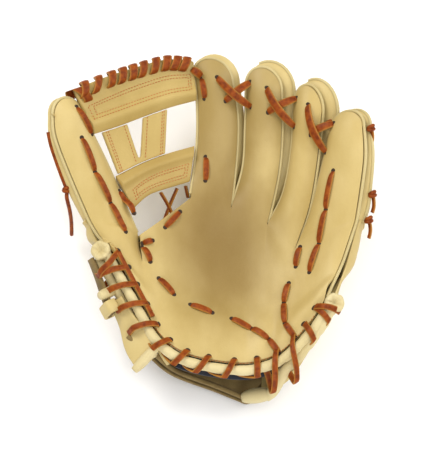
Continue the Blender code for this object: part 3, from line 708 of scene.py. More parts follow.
# The palm's hide carries painted shade in the pocket and over the upper palm.
palm_hide = leather_finish(
    "palm_hide", (0.565, 0.430, 0.172), (0.47, 0.338, 0.108), pocket=(0.165, 0.090, 0.010)
)
back_hide = leather_finish("back_hide", (0.59, 0.465, 0.200), (0.50, 0.37, 0.135))

palm_grids = [
    [[palm_point(strip, u, v) for u in columns(PALM_COLUMNS)] for v in spread(0.0, 1.0, PALM_ROWS)]
    for strip in range(6)
]
for finger, row in FINGERS.items():
    grid = [[front_point(finger, u, v) for u in columns(PALM_COLUMNS)] for v in spread(0.0, 1.0, FRONT_ROWS)]
    if math.dist(grid[0][0], palm_grids[row["strip"]][-1][0]) < 0.003:
        grid[0] = palm_grids[row["strip"]][-1]
    palm_grids.append(grid)
palm = add_hide("palm", palm_grids, (0, 0, 1), LEATHER, palm_hide, edge=0.0011, relax=8, join=1.6e-4)
fix_on(palm, "palm_shell")
palm_faces = BVHTree.FromPolygons(
    [v.co for v in palm.data.vertices], [tuple(p.vertices) for p in palm.data.polygons]
)


def on_palm(place, lift):
    """The point at this height over the palm's face, above the given place in plan."""
    facing = palm_normal(*place)
    base = Vector((*place, palm_height(*place)))
    hit = palm_faces.ray_cast(base + facing * 0.012, -facing, 0.03)[0]
    return (hit if hit else base) + facing * lift


# Backs of the fingers. Each real stall has a back cut from softer hide, turned round the finger and
# sewn to the front with piping between. Its sides swell out past the seam, and its end closes the tip.
HAND_DEPTH = 0.043
FINGER_DEPTH = 0.0395
FINGER_ROUNDING = 0.12
WELT_HEIGHT = 0.0024
WALL_INSET = 0.0006
GAP = 0.0003
ROOT_JOIN = 0.030
BACK_COLUMNS = 16
BACK_ROWS = 34
WALL_STEPS = 9
WALL_TURN = 0.0085
OUTER_SWELL = {"thumb": (0.0030, 0.0012), "index": (0.0016, 0.0), "little": (0.0, 0.0036)}
GAP_FILLED = 0.66
GAP_SHARED = 0.12
BACK_LEAST = 0.002
STALL_ROWS = spread(ROOT_JOIN, 1.0, BACK_ROWS)


def seam_depth(drop):
    """Where the back's wall begins, behind the front's edge and the welt."""
    return drop + LEATHER + 2 * GAP + WELT_HEIGHT


def finger_back_depth(finger, u, v):
    root, tip = FINGERS[finger]["depth"]
    share = root + (tip - root) * smooth(v)
    return FINGER_DEPTH * share * (1 - FINGER_ROUNDING * abs(2 * u - 1) ** 3)


def gap_between(finger, following, v):
    return math.dist(finger_place(finger, 1.0, v), finger_place(following, 0.0, v))


def back_swell(finger, u, v):
    """How far the side stands out past its seam: most of the gap on the side towards the little finger."""
    names = list(FINGERS)
    place = names.index(finger)
    left, right = OUTER_SWELL.get(finger, (0.0, 0.0))
    if finger in ("index", "middle", "ring"):
        right = GAP_FILLED * gap_between(finger, names[place + 1], v)
    if finger in ("middle", "ring", "little"):
        left = GAP_SHARED * gap_between(names[place - 1], finger, v)
    grown_in = smooth((v - 0.03) / 0.12) if finger not in ("thumb", "little") else 0.2 + 0.8 * smooth(v / 0.25)
    return (left + (right - left) * smooth(u)) * grown_in


def stall_wall(finger, u, v, t):
    """A point down the side of a finger, with t from the seam to where the back begins."""
    drop = finger_drop(finger, u, v)
    top = seam_depth(drop)
    low = max(finger_back_depth(finger, u, v), top + BACK_LEAST)
    angle = t * math.pi / 2
    swell = back_swell(finger, u, v) * math.sin(math.pi * t**0.8)
    inset = WALL_INSET + WALL_TURN * (1 - math.cos(angle)) - swell
    return behind(finger_place(finger, u, v, inset), top + (low - top) * math.sin(angle) ** 1.15)


def seam_turns(count):
    """Places round a finger's seam from root to root, as (u, v)."""
    rising = [(0.0, v) for v in STALL_ROWS]
    over_tip = [(u, 1.0) for u in columns(count)[1:-1]]
    return rising + over_tip + [(1.0, v) for v in STALL_ROWS[::-1]]


def stall_back(finger, u, v):
    """A point on a stall's back, with room for its wall at the two sides."""
    least = BACK_LEAST + (seam_depth(finger_drop(finger, u, v)) if u in (0.0, 1.0) else 0.0)
    place = finger_place(finger, u, v, WALL_INSET + WALL_TURN)
    return behind(place, max(finger_back_depth(finger, u, v), least))


def stall_grids(finger):
    back = [[stall_back(finger, u, v) for u in columns(BACK_COLUMNS)] for v in STALL_ROWS]
    border = [row[0] for row in back] + back[-1][1:-1] + [row[-1] for row in back[::-1]]
    turns = seam_turns(BACK_COLUMNS)
    walls = [[stall_wall(finger, u, v, k / WALL_STEPS) for u, v in turns] for k in range(WALL_STEPS)]
    return [back, walls + [border]]


for finger in FINGERS:
    stall = add_hide(finger + "_stall", stall_grids(finger), (0, 0, -1), LEATHER * 0.8, back_hide, edge=0.0007)
    fix_on(stall, finger + "_back")


# Back of the hand. Softer hide covers the knuckles, flattened where the glove lies on it, open over the
# wrist and laced to the palm's edge beside the thumb. Its outer sides run on under the fingers' hide.
HAND_ROUNDING = 0.38
KNUCKLE_VALLEY = 0.92
BACK_EDGE_STEP = 0.003
BACK_ROUNDING = 0.0035
WINDOW = {"first_strip": 2, "last_strip": 3, "top": 0.45}
HAND_COLUMNS = 12
HAND_ROWS = 30
HAND_SWELL = 0.0022
HAND_TUCK = 0.004
TUCK_DEPTH = 0.0012
OUTER_STRIPS = (0, 5)


def heel_depth(share):
    return HAND_DEPTH * along(HEEL_EDGE, share)[2]


def finger_of_strip(strip):
    return next((name for name, row in FINGERS.items() if row["strip"] == strip), None)


def hand_back_depth(strip, u, v):
    share = strip_share(strip, u)
    full = HAND_DEPTH * (1 - HAND_ROUNDING * abs(2 * share - 1) ** 3)
    finger = finger_of_strip(strip)
    middle = FINGERS[finger]["depth"][0] if finger else KNUCKLE_VALLEY
    outside = strip == 0 and u < 0.5 or strip == 5 and u > 0.5
    side = middle * (1 - FINGER_ROUNDING) if outside else KNUCKLE_VALLEY
    root = FINGER_DEPTH * (middle + (side - middle) * abs(2 * u - 1) ** 3)
    deep = heel_depth(share) + (full - heel_depth(share)) * smooth((v - 0.25) / 0.4)
    return deep + (root - deep) * smooth((v - 0.65) / 0.35)


def shift_from_edge(strip, u, v, amount):
    """How a place near the glove's outside moves inwards by amount, in shares of its strip."""
    share = strip_share(strip, u)
    width = math.dist(body_place(0.0, v, 0.0), body_place(1.0, v, 0.0))
    return amount / width * (1 - 2 * share)


def wall_outside(strip, u, v, inset):
    share = strip_share(strip, u)
    place = body_place(share + shift_from_edge(strip, u, v, WALL_INSET), v, inset)
    return (place[0], place[1] - (WALL_INSET if v == 1.0 else 0.0))


def hand_inside(strip, u, v, inset):
    """Where the side has turned into the back: close to the edge at the heel, as deep as a stall's above."""
    share = strip_share(strip, u)
    turn = WALL_INSET + BACK_ROUNDING + (WALL_TURN - BACK_ROUNDING) * smooth((v - 0.1) / 0.7)
    place = body_place(share + shift_from_edge(strip, u, v, turn), v, inset)
    pull = WALL_INSET + BACK_ROUNDING if strip == 1 and v == 1.0 else 0.0
    return (place[0], place[1] - pull * (1 - abs(2 * u - 1) ** 4))


def hand_rows(strip):
    rows = spread(0.0, 1.0, HAND_ROWS)
    if WINDOW["first_strip"] <= strip <= WINDOW["last_strip"]:
        return [v for v in rows if v >= WINDOW["top"]]
    return rows


def hand_back(strip, u, v, inset, lift=0.0):
    return behind(hand_inside(strip, u, v, inset), hand_back_depth(strip, u, v) - lift)


def hand_wall(strip, u, v, t, inset):
    """A point down the side of the hand, with t from the seam to where the back begins."""
    outer = Vector(wall_outside(strip, u, v, inset))
    inner = Vector(hand_inside(strip, u, v, inset))
    top = seam_depth(body_drop(strip, u, v))
    low = max(hand_back_depth(strip, u, v), top + BACK_LEAST)
    angle = t * math.pi / 2
    swell = HAND_SWELL * (1 - 0.75 * smooth((v - 0.72) / 0.28)) * math.sin(math.pi * t)
    place = outer + (inner - outer) * (1 - math.cos(angle) - swell / math.dist(outer, inner))
    return behind(tuple(place), top + (low - top) * math.sin(angle) ** 1.15)


def tucked(last, before, inner):
    """Where the hide runs on, a little deeper, under the hide sewn over it."""
    return tuple(Vector(inner) + (Vector(last) - Vector(before)).normalized() * HAND_TUCK)


def hand_grids():
    inset = BINDING_RADIUS + BINDING_GAP - BACK_EDGE_STEP
    across = columns(HAND_COLUMNS)
    grids = [[[hand_back(strip, u, v, inset) for u in across] for v in hand_rows(strip)] for strip in range(6)]
    for turns in (
        [(0, 0.0, v) for v in hand_rows(0)], [(5, 1.0, v) for v in hand_rows(5)], [(1, u, 1.0) for u in across],
    ):
        walls = [[hand_wall(*turn, k / WALL_STEPS, inset) for turn in turns] for k in range(WALL_STEPS)]
        walls.append([hand_back(*turn, inset) for turn in turns])
        side, u = turns[0][:2]
        if side in OUTER_STRIPS:
            for k, row in enumerate(walls):
                inner = hand_wall(side, u, 1.0, k / WALL_STEPS, inset + TUCK_DEPTH)
                if k == WALL_STEPS:
                    inner = hand_back(side, u, 1.0, inset, TUCK_DEPTH)
                row.append(tucked(row[-1], row[-2], inner))
        grids.append(walls)
    for side in OUTER_STRIPS:
        rows = grids[side]
        deeper = [hand_back(side, u, 1.0, inset, TUCK_DEPTH) for u in across]
        rows.append([tucked(*places) for places in zip(rows[-1], rows[-2], deeper)])
    return grids


hand_panel = add_hide("hand_panel", hand_grids(), (0, 0, -1), LEATHER, back_hide, edge=0.0009)
fix_on(hand_panel, "hand_back")


# Piping. A strip of cream leather folded over a cord is sewn into every finger seam, and a second one
# joins side and back of the middle, ring and little fingers, over the tip and down the right side.
PIPING_RADIUS = 0.0014
PIPING_OUT = 0.0003
PIPING_DEPTH = 0.0023
PIPING_STEP = 0.0025
SECOND_SEAM = 0.24
SIDE_ROWS = spread(0.06, 0.96, 16)


def started_tree(name, inputs):
    """A geometry tree with the named inputs, and what its input node gives."""
    tree = bpy.data.node_groups.new(name, "GeometryNodeTree")
    for label, kind in {"Geometry": "Geometry", **inputs}.items():
        tree.interface.new_socket(label, in_out="INPUT", socket_type="NodeSocket" + kind)
    tree.interface.new_socket("Geometry", in_out="OUTPUT", socket_type="NodeSocketGeometry")
    return tree, tree.nodes.new("NodeGroupInput").outputs


def ended_tree(tree, given, geometry):
    """The tree's end, where what it made becomes real faces and gets its material."""
    real = add_node(tree, "GeometryNodeRealizeInstances", {"Geometry": geometry})
    values = {"Geometry": real.outputs[0], "Material": given["Finish"]}
    paint = add_node(tree, "GeometryNodeSetMaterial", values)
    add_node(tree, "NodeGroupOutput", {"Geometry": paint.outputs[0]})
    return tree


def even_path(tree, given, step):
    """The given path as a curve with its points an even step apart."""
    line = add_node(tree, "GeometryNodeMeshToCurve", {"Mesh": given["Geometry"]})
    values = {"Curve": line.outputs[0], "Length": given[step]}
    return add_node(tree, "GeometryNodeResampleCurve", values, mode="LENGTH").outputs[0]


def piping_tree():
    """Nodes that turn a path into a round closed tube, with named inputs for its sizes."""
    tree, given = started_tree("round_piping", {"Radius": "Float", "Step": "Float", "Finish": "Material"})
    ring = add_node(tree, "GeometryNodeCurvePrimitiveCircle", {"Resolution": 10, "Radius": given["Radius"]})
    tube = add_node(tree, "GeometryNodeCurveToMesh", {
        "Curve": even_path(tree, given, "Step"), "Profile Curve": ring.outputs[0], "Fill Caps": True,
    })
    return ended_tree(tree, given, tube.outputs[0])


def planted(piece, tree, **sizes):
    """The object with what the node tree makes of it as its plain mesh."""
    nodes = piece.modifiers.new("grow", "NODES")
    nodes.node_group = tree
    for item in tree.interface.items_tree:
        label = item.name.lower().replace(" ", "_")
        if item.item_type == "SOCKET" and item.in_out == "INPUT" and label in sizes:
            nodes[item.identifier] = sizes[label]
    return settled(piece)


def grown(name, paths, tree, **sizes):
    """A plain mesh grown by a node tree along one or more paths."""
    mesh = bpy.data.meshes.new(name)
    edges, first = [], 0
    for path in paths:
        edges += [(first + k, first + k + 1) for k in range(len(path) - 1)]
        first += len(path)
    mesh.from_pydata([point for path in paths for point in path], edges, [])
    piece = planted(placed(name, mesh), tree, **sizes)
    outward(piece)
    piece.data.shade_smooth()
    return piece


def hand_side(share, v, out):
    width = math.dist(body_place(0.0, v, 0.0), body_place(1.0, v, 0.0))
    return body_place(share - out / width * (1 - 2 * share), v, BINDING_RADIUS + BINDING_GAP)


def first_seam(finger):
    path = [
        behind(finger_place(finger, u, v, -PIPING_OUT), finger_drop(finger, u, v) + PIPING_DEPTH)
        for u, v in seam_turns(14)
    ]
    if finger == "thumb":
        side = [behind(hand_side(0.0, v, PIPING_OUT), body_drop(0, 0.0, v) + PIPING_DEPTH) for v in SIDE_ROWS]
        path = side + path
    if finger == "little":
        run = [behind(hand_side(1.0, v, PIPING_OUT), body_drop(5, 1.0, v) + PIPING_DEPTH) for v in SIDE_ROWS]
        path += run[::-1]
    return path


def second_seam(finger):
    return [stall_wall(finger, u, v, SECOND_SEAM) for u, v in seam_turns(14) if u > 0.35]


round_piping = piping_tree()
cream_piping = leather_finish("cream_piping", (0.56, 0.46, 0.22), (0.46, 0.36, 0.15))
for finger in FINGERS:
    paths = [first_seam(finger)]
    if finger not in ("thumb", "index"):
        paths.append(second_seam(finger))
    sizes = {"radius": PIPING_RADIUS, "step": PIPING_STEP, "finish": cream_piping}
    fix_on(grown(finger + "_piping", paths, round_piping, **sizes), finger + "_welt")


# Rolled edges at the heel. The palm's edge is bound all round with a rolled strip of cream leather, and
# so is the back's on both sides of the strap. The rolls meet at two puckered ends, one by the thumb and
# one by the little finger. Lacing squeezes them together.
KNOB = 0.012
THUMB_SIDE_LAST = 0.365
LITTLE_SIDE_START = 0.66
HEEL_TURNS = (0.026, 0.093, 0.148, 0.204, 0.281, 0.368, 0.444, 0.498, 0.557, 0.665, 0.761, 0.833, 0.880, 0.950)
SQUEEZE = 0.13
ROLL_SIDES = 14
PUCKERS = 7
END_RINGS = 9
END_SIDES = 36
END_REACH = 0.0080
END_RISE = 0.0045
END_LIFT = 0.0012
cream_roll = leather_finish("cream_roll", (0.64, 0.54, 0.29), (0.52, 0.41, 0.18))


def front_edge(share):
    return behind(heel_place(share), LEATHER / 2)


def back_edge(share):
    return behind(heel_place(share, -BACK_EDGE_STEP), heel_depth(share) - LEATHER / 2)


def little_edge(share):
    """The thick roll beside the strap is drawn up close to the palm's."""
    return back_edge(share).lerp(front_edge(share), 0.08 + 0.58 * smooth((share - LITTLE_SIDE_START) / 0.11))


def add_roll(name, edge, first, last, steps, radius):
    """A soft rolled edge: a tube that is pinched under each lace and creased between them."""
    points = [edge(share) for share in spread(first, last, steps)]
    verts = []
    for k, (point, share) in enumerate(zip(points, spread(first, last, steps))):
        run = (points[min(k + 1, steps)] - points[max(k - 1, 0)]).normalized()
        side = run.cross(Vector((0, 0, 1))).normalized()
        top = side.cross(run)
        girth = radius * (1.03 - SQUEEZE * hump(min(abs(share - turn) for turn in HEEL_TURNS), 0.012))
        if k in (0, steps):
            girth *= 0.55
        for s in range(ROLL_SIDES):
            turn = 2 * math.pi * s / ROLL_SIDES
            crease = 1 + 0.035 * math.sin(9 * turn + 40 * share) * math.sin(210 * share)
            verts.append(point + (side * math.cos(turn) + top * math.sin(turn)) * girth * crease)
    return solid(name, verts, wrapped(steps + 1, ROLL_SIDES), cream_roll)


for name, edge, first, last, steps, radius, node in (
    ("palm_roll", front_edge, KNOB, 1.0 - KNOB, 170, BINDING_RADIUS, "palm_binding"),
    ("thumb_side_roll", back_edge, KNOB, THUMB_SIDE_LAST, 70, BINDING_RADIUS, "thumb_side_binding"),
    (
        "little_side_roll", little_edge, LITTLE_SIDE_START, 1.0 - KNOB, 70, BINDING_RADIUS * 1.15,
        "little_side_binding",
    ),
):
    fix_on(add_roll(name, edge, first, last, steps, radius), node)


def add_rolled_end(name, share, away):
    """Where the rolls end: the leather is gathered into a puckered boss."""
    centre = (front_edge(share) * 0.6 + back_edge(share) * 0.4) + Vector(away)
    facing = (Vector((0, -0.30, 1.0)) + Vector(away) * 40).normalized()
    side = facing.orthogonal().normalized()
    top = facing.cross(side)
    verts = [centre + facing * END_LIFT]
    for t in spread(0.0, 1.0, END_RINGS)[1:]:
        for turn in spread(0.0, 2 * math.pi, END_SIDES)[:-1]:
            pucker = 1 + 0.07 * math.cos(PUCKERS * turn) * (1 - t) + 0.03 * math.cos(5 * turn + 1)
            reach = END_REACH * math.sin(min(t * 1.35, 1.0) * math.pi / 2) * pucker
            reach *= 1 - 0.9 * max(0.0, t - 0.75)
            height = END_RISE * math.sin(math.pi * min(t * 1.25, 1.0)) ** 0.7
            height += END_LIFT - 0.011 * max(0.0, t - 0.55)
            height += 0.0007 * math.cos(PUCKERS * turn) * math.sin(math.pi * min(t * 1.6, 1.0))
            turned = side * math.cos(turn) + top * math.sin(turn)
            verts.append(centre + turned * reach + facing * height)
    faces = [(0, 1 + s, 1 + (s + 1) % END_SIDES) for s in range(END_SIDES)]
    faces += [tuple(1 + corner for corner in face) for face in wrapped(END_RINGS, END_SIDES)[:-2]]
    faces.append(tuple(range(len(verts) - END_SIDES, len(verts)))[::-1])
    fix_on(solid(name, verts, faces, cream_roll))


add_rolled_end("thumb_rolled_end", 0.015, (-0.0015, 0.003, 0.001))
add_rolled_end("little_rolled_end", 0.985, (0.001, 0.003, 0.001))


# Lining. The real one is soft dark leather over felt, behind the palm. It shows only at the mouth, where
# it rolls down behind the palm's edge.
LINING = 0.0025
LINING_CLEARANCE = 0.0010
LINING_FIRST = 0.43
LINING_LAST = 0.80
LINING_LIP = (
    # inset, depth
    (0.0005, 0.0148),
    (0.0075, 0.0110),
    (0.0135, 0.0074),
    (0.0200, 0.0044),
)
LINING_ROWS = (0.28, 0.36, 0.45, 0.55, 0.65, 0.75, 0.85)


def lining_rows():
    shares = spread(LINING_FIRST, LINING_LAST, 40)
    lip = [[behind(heel_place(s, inset), depth) for s in shares] for inset, depth in LINING_LIP]
    depth = LEATHER + LINING_CLEARANCE
    return lip + [[behind(body_place(s, v, 0.0), depth) for s in shares] for v in LINING_ROWS]


navy_lining = leather_finish("navy_lining", (0.010, 0.013, 0.026), (0.007, 0.009, 0.018))
lining = add_hide("lining", [lining_rows()], (0, 0, 1), LINING, navy_lining, edge=0.0006)
fix_on(lining, "hand_lining")


# Web. Two padded bars of doubled hide, each with one rolled edge and a flat stitched field, and a forked
# post of flat hide between them. The bars are laced to the thumb and to the first finger.
WEB_DEPTH = 0.001
WEB_THICKNESS = 0.007
POST_THICKNESS = 0.004
WEB_TOP_EDGE = ((-0.908, 0.752), (-0.722, 0.855), (-0.555, 0.929), (-0.400, 0.981), (-0.250, 0.985))
WEB_TOP_LOW_EDGE = ((-0.795, 0.560), (-0.655, 0.628), (-0.515, 0.697), (-0.375, 0.756), (-0.233, 0.800))
WEB_LOW_TOP_EDGE = ((-0.677, 0.371), (-0.530, 0.462), (-0.385, 0.528), (-0.244, 0.575))
WEB_LOW_EDGE = ((-0.582, 0.214), (-0.515, 0.284), (-0.443, 0.326), (-0.270, 0.391))
# Each bar is its upper edge, its lower edge and where its rolled edge lies across it.
TOP_BAR = (WEB_TOP_EDGE, WEB_TOP_LOW_EDGE, 0.20)
LOW_BAR = (WEB_LOW_TOP_EDGE, WEB_LOW_EDGE, 0.76)
BAR_STATIONS = 44
BAR_SIDES = 18
ROLL_RISE = 0.0030
GROOVE = 0.0009

# Posts of the web, as shares along the top bar's lower edge and the lower bar's upper edge.
POSTS = (
    # upper left, upper right, lower left, lower right
    (0.09, 0.31, 0.05, 0.30),
    (0.47, 0.71, 0.30, 0.61),
)
POST_FORK = 0.12
POST_DEPTH = WEB_DEPTH + (WEB_THICKNESS - POST_THICKNESS) / 2

web_hide = leather_finish("web_hide", (0.485, 0.350, 0.115), (0.40, 0.275, 0.075))
# A darker copy of the web's hide for the lower bar: painted shade.
shaded_web_hide = leather_finish("shaded_web_hide", (0.42, 0.292, 0.088), (0.35, 0.230, 0.058))


def bar_half(r, roll_at):
    """Half the bar's thickness at a share of its width, with the rolled edge fuller than the rest."""
    ends = (1 - abs(2 * r - 1) ** 5) ** 0.5
    groove = GROOVE * hump(abs(r - roll_at) - 0.20, 0.035) * (1 if (r - 0.5) * (roll_at - 0.5) < 0.09 else 0)
    return (WEB_THICKNESS / 2 - 0.0010 - groove) * ends + ROLL_RISE * hump(r - roll_at, 0.13) * ends


def bar_face(bar, s, r, lift=0.0, side=1):
    """A point on the bar's front at a share along it and a share of its width, or on its back if side is -1."""
    upper, lower, roll_at = bar
    place = plan(mix(along(lower, s), along(upper, s), r))
    return behind(place, WEB_DEPTH + WEB_THICKNESS / 2 - side * bar_half(r, roll_at) - lift)


def add_bar(name, bar, finish, node):
    verts = []
    ring = columns(BAR_SIDES)
    for s in spread(0.0, 1.0, BAR_STATIONS):
        verts += [bar_face(bar, s, r) for r in ring]
        verts += [bar_face(bar, s, r, side=-1) for r in ring[1:-1][::-1]]
    fix_on(solid(name, verts, wrapped(BAR_STATIONS + 1, 2 * BAR_SIDES), finish), node)


add_bar("top_bar", TOP_BAR, web_hide, "web_top_bar")
# The lower bar takes the darker copy of the web's hide, as painted shade.
add_bar("low_bar", LOW_BAR, shaded_web_hide, "web_lower_bar")


def trimmed(low, high, r):
    """A place between the two bars, clear of both by the web's gap."""
    trim = 2 * GAP / math.dist(low, high)
    return mix(low, high, trim + r * (1 - 2 * trim))


def post_place(number, c, r):
    up_left, up_right, low_left, low_right = POSTS[number]
    high = plan(along(WEB_TOP_LOW_EDGE, up_left + (up_right - up_left) * c))
    low = plan(along(WEB_LOW_TOP_EDGE, low_left + (low_right - low_left) * c))
    return trimmed(low, high, r)


def post_rows():
    fork_high = plan(along(WEB_TOP_LOW_EDGE, (POSTS[0][1] + POSTS[1][0]) / 2))
    fork_low = plan(along(WEB_LOW_TOP_EDGE, POSTS[0][3]))
    grids = []
    for number, inner in ((0, 1.0), (1, 0.0)):
        grids.append([])
        for r in spread(0.0, POST_FORK, 3) + spread(POST_FORK, 1.0, 22)[1:]:
            places = [post_place(number, c, r) for c in spread(0.0, 1.0, 10)]
            if r <= POST_FORK + 1e-9:
                places[-1 if inner else 0] = trimmed(fork_low, fork_high, r)
            grids[-1].append([behind(place, POST_DEPTH) for place in places])
    return grids


posts = add_hide("posts", post_rows(), (0, 0, 1), POST_THICKNESS, web_hide, edge=0.0009)
fix_on(posts, "web_posts")


# Thread. The web's fields and posts are sewn with two rows of waxed orange thread, and a row of it holds
# the rolled edge to the palm. Each stitch is a short length of thread sunk at both ends.
STITCH_LENGTH = 0.0019
STITCH_PITCH = 0.0025
THREAD_RADIUS = 0.00033
THREAD_LIFT = 0.0002
THREAD_SEED = 7
THREAD_SLACK = (0.85, 1.1)

# Rows of thread on the bars, as shares along the bar from and to, and across it from and to.
FIELD_ROWS = (
    ("top_bar_thread", TOP_BAR, (0.055, 0.94, 0.300, 0.66), (0.095, 0.915, 0.365, 0.595)),
    ("low_bar_thread", LOW_BAR, (0.14, 0.93, 0.16, 0.52), (0.18, 0.90, 0.24, 0.44)),
)

# Rows of thread down the posts, as the post, the share across it and the share of its length where it starts.
POST_ROWS = (
    (0, 0.13, 0.03), (0, 0.21, 0.03), (0, 0.84, 0.10), (1, 0.17, 0.10), (1, 0.79, 0.03), (1, 0.87, 0.03),
)


def stitch_tree():
    """Nodes that lay short stitches along a path, with named inputs for their sizes."""
    tree, given = started_tree("row_of_stitches", {
        "Stitch Length": "Float", "Pitch": "Float", "Thread Radius": "Float", "Seed": "Int",
        "Finish": "Material",
    })
    tangent = tree.nodes.new("GeometryNodeInputTangent").outputs[0]
    turned = add_node(tree, "FunctionNodeAlignRotationToVector", {"Vector": tangent}, axis="X")
    shortest, longest = THREAD_SLACK
    values = {"Min": shortest, "Max": longest, "Seed": given["Seed"]}
    wander = add_node(tree, "FunctionNodeRandomValue", values, data_type="FLOAT")
    length = maths(tree, "MULTIPLY", maths(tree, "MULTIPLY", given["Stitch Length"], 0.5), live(wander))
    thin = given["Thread Radius"]
    size = add_node(tree, "ShaderNodeCombineXYZ", {"X": length, "Y": thin, "Z": thin})
    bead = add_node(tree, "GeometryNodeMeshUVSphere", {"Segments": 6, "Rings": 6, "Radius": 1.0})
    laid = add_node(tree, "GeometryNodeInstanceOnPoints", {
        "Points": even_path(tree, given, "Pitch"), "Instance": bead.outputs[0], "Rotation": turned.outputs[0],
        "Scale": size.outputs[0],
    })
    return ended_tree(tree, given, laid.outputs[0])


row_of_stitches = stitch_tree()
orange_thread, orange_thread_shader = new_finish("orange_thread", (0.42, 0.115, 0.016), 0.6)
orange_thread_shader.inputs["Sheen Weight"].default_value = 0.05


def add_stitches(name, paths, length=STITCH_LENGTH, pitch=STITCH_PITCH):
    sizes = {"stitch_length": length, "pitch": pitch, "thread_radius": THREAD_RADIUS}
    fix_on(grown(name, paths, row_of_stitches, seed=THREAD_SEED, finish=orange_thread, **sizes))


def field_loop(bar, first, last, low, high):
    """A closed row of stitches round a bar's flat field, drawn in at its far upper corner."""
    there = [bar_face(bar, s, low, THREAD_LIFT) for s in spread(first, last, 40)]
    up = [bar_face(bar, last, r, THREAD_LIFT) for r in spread(low, high, 8)[1:]]
    home = [
        bar_face(bar, s, high - 0.22 * (high - low) * t**3, THREAD_LIFT)
        for s, t in zip(spread(last, first, 40)[1:], spread(0.0, 1.0, 40)[1:])
    ]
    return there + up + home + there[:1]


for name, bar, *rows in FIELD_ROWS:
    add_stitches(name, [field_loop(bar, *row) for row in rows])
add_stitches("post_thread", [
    [behind(post_place(number, c, r), POST_DEPTH - THREAD_LIFT) for r in spread(lowest, 0.97, 20)]
    for number, c, lowest in POST_ROWS
])
THREAD_INSET = BINDING_RADIUS + BINDING_GAP + 0.0006
beside_roll = [on_palm(heel_place(share, THREAD_INSET), THREAD_LIFT) for share in spread(0.30, 0.92, 120)]
add_stitches("palm_edge_thread", [beside_roll], length=0.0021, pitch=0.0027)


# Laces. All of them are cut from one oiled hide, 5 to 6 mm wide and soft enough to curl, so that their
# paler cut edges show. They whip the heel's edges and the web's top together, cross over the gaps between
# fingertips, and are sewn through the palm in long stitches. The holes are punched through the leather.
LACE_WIDTH = 0.0052
LACE_THICKNESS = 0.0016
EYELET_MARGIN = 0.0035
LACE_SLACK = 0.0006
BACK_LACE_SLACK = 0.0024
WEB_EYELET_INSET = 0.0065
WEB_LACE_WIDTH = 0.0064
BAND_SIDES = (
    # across, up, and how much of it is cut edge
    (-1.00, 0.00, 1.0), (-0.93, 0.75, 0.8), (-0.62, 1.06, 0.0), (0.00, 1.22, 0.0), (0.62, 1.06, 0.0),
    (0.93, 0.75, 0.8), (1.00, 0.00, 1.0), (0.93, -0.75, 0.8), (0.40, -1.0, 0.0), (-0.40, -1.0, 0.0),
    (-0.93, -0.75, 0.8),
)
HALF_LACE = LACE_THICKNESS / 2
ROLL_MIDDLE = LEATHER / 2
ROLL_CLEAR = BINDING_RADIUS + GAP + HALF_LACE + LACE_SLACK
HOLE_IN = BINDING_RADIUS + GAP + EYELET_MARGIN

# The lace holds the palm's edge and the back's edge together up to the first share, and then the palm's
# alone, but for two long turns that take in the strap's swelling.
LACED_TOGETHER = 0.27
STRAND_SPAN = 0.036
STRAND_PLACES = (0.35, 0.5, 0.65, 0.8)
LONG_TURNS = (0.665, 0.761)
LONG_OUT = 0.0105
LONG_DOWN = 0.015
LONG_SPAN = 0.112


def add_band(name, stations, width, thickness=LACE_THICKNESS, smoothness=4):
    """A flat lace through (centre, across, normal, share of the width) stations, on one smooth path."""
    count = (len(stations) - 1) * smoothness
    flat = [
        (*centre, *across.normalized(), *normal.normalized(), wide) for centre, across, normal, wide in stations
    ]
    verts = []
    for t in spread(0.0, 1.0, count):
        x, y, z, ax, ay, az, nx, ny, nz, wide = along(flat, t)
        normal = Vector((nx, ny, nz)).normalized()
        across = Vector((ax, ay, az))
        across = (across - normal * across.dot(normal)).normalized()
        for side, up, edge in BAND_SIDES:
            verts.append(Vector((x, y, z)) + across * side * width * wide / 2 + normal * up * thickness / 2)
    piece = solid(name, verts, wrapped(count + 1, len(BAND_SIDES)), rawhide_lace)
    shade = piece.data.attributes.new("cut_edge", "FLOAT", "POINT")
    shade.data.foreach_set("value", [edge for side, up, edge in BAND_SIDES] * (count + 1))
    return fix_on(piece)


def heel_frame(share):
    """The palm's edge at a share of the way round: run along it, outwards and up off the palm."""
    place = heel_place(share)
    up = palm_normal(*place)
    ahead, back = front_edge(min(share + 0.01, 1.0)), front_edge(max(share - 0.01, 0.0))
    run = (ahead - back).normalized()
    out = up.cross(run)
    inner = heel_place(share, 0.01)
    if out.dot(Vector((place[0] - inner[0], place[1] - inner[1], 0.0))) < 0:
        out = -out
    surface = behind(place, 0.0)
    return surface, run, out.normalized(), up


def web_frame(share):
    place = plan(along(WEB_TOP_EDGE, share))
    up = palm_normal(*place)
    ahead = plan(along(WEB_TOP_EDGE, min(share + 0.01, 1.0)))
    back = plan(along(WEB_TOP_EDGE, max(share - 0.01, 0.0)))
    run = (behind(ahead, 0.0) - behind(back, 0.0)).normalized()
    out = run.cross(up) * -1
    if out.y < 0:
        out = -out
    return behind(place, 0.0), run, out.normalized(), up


def station(frame_here, out_by, depth, lean_out, lean_up):
    """A station of a lace at a rim: moved outwards and down from it, with its face leaning as given."""
    surface, run, out, up = frame_here
    return surface + out * out_by - up * depth, run, out * lean_out + up * lean_up, 1.0


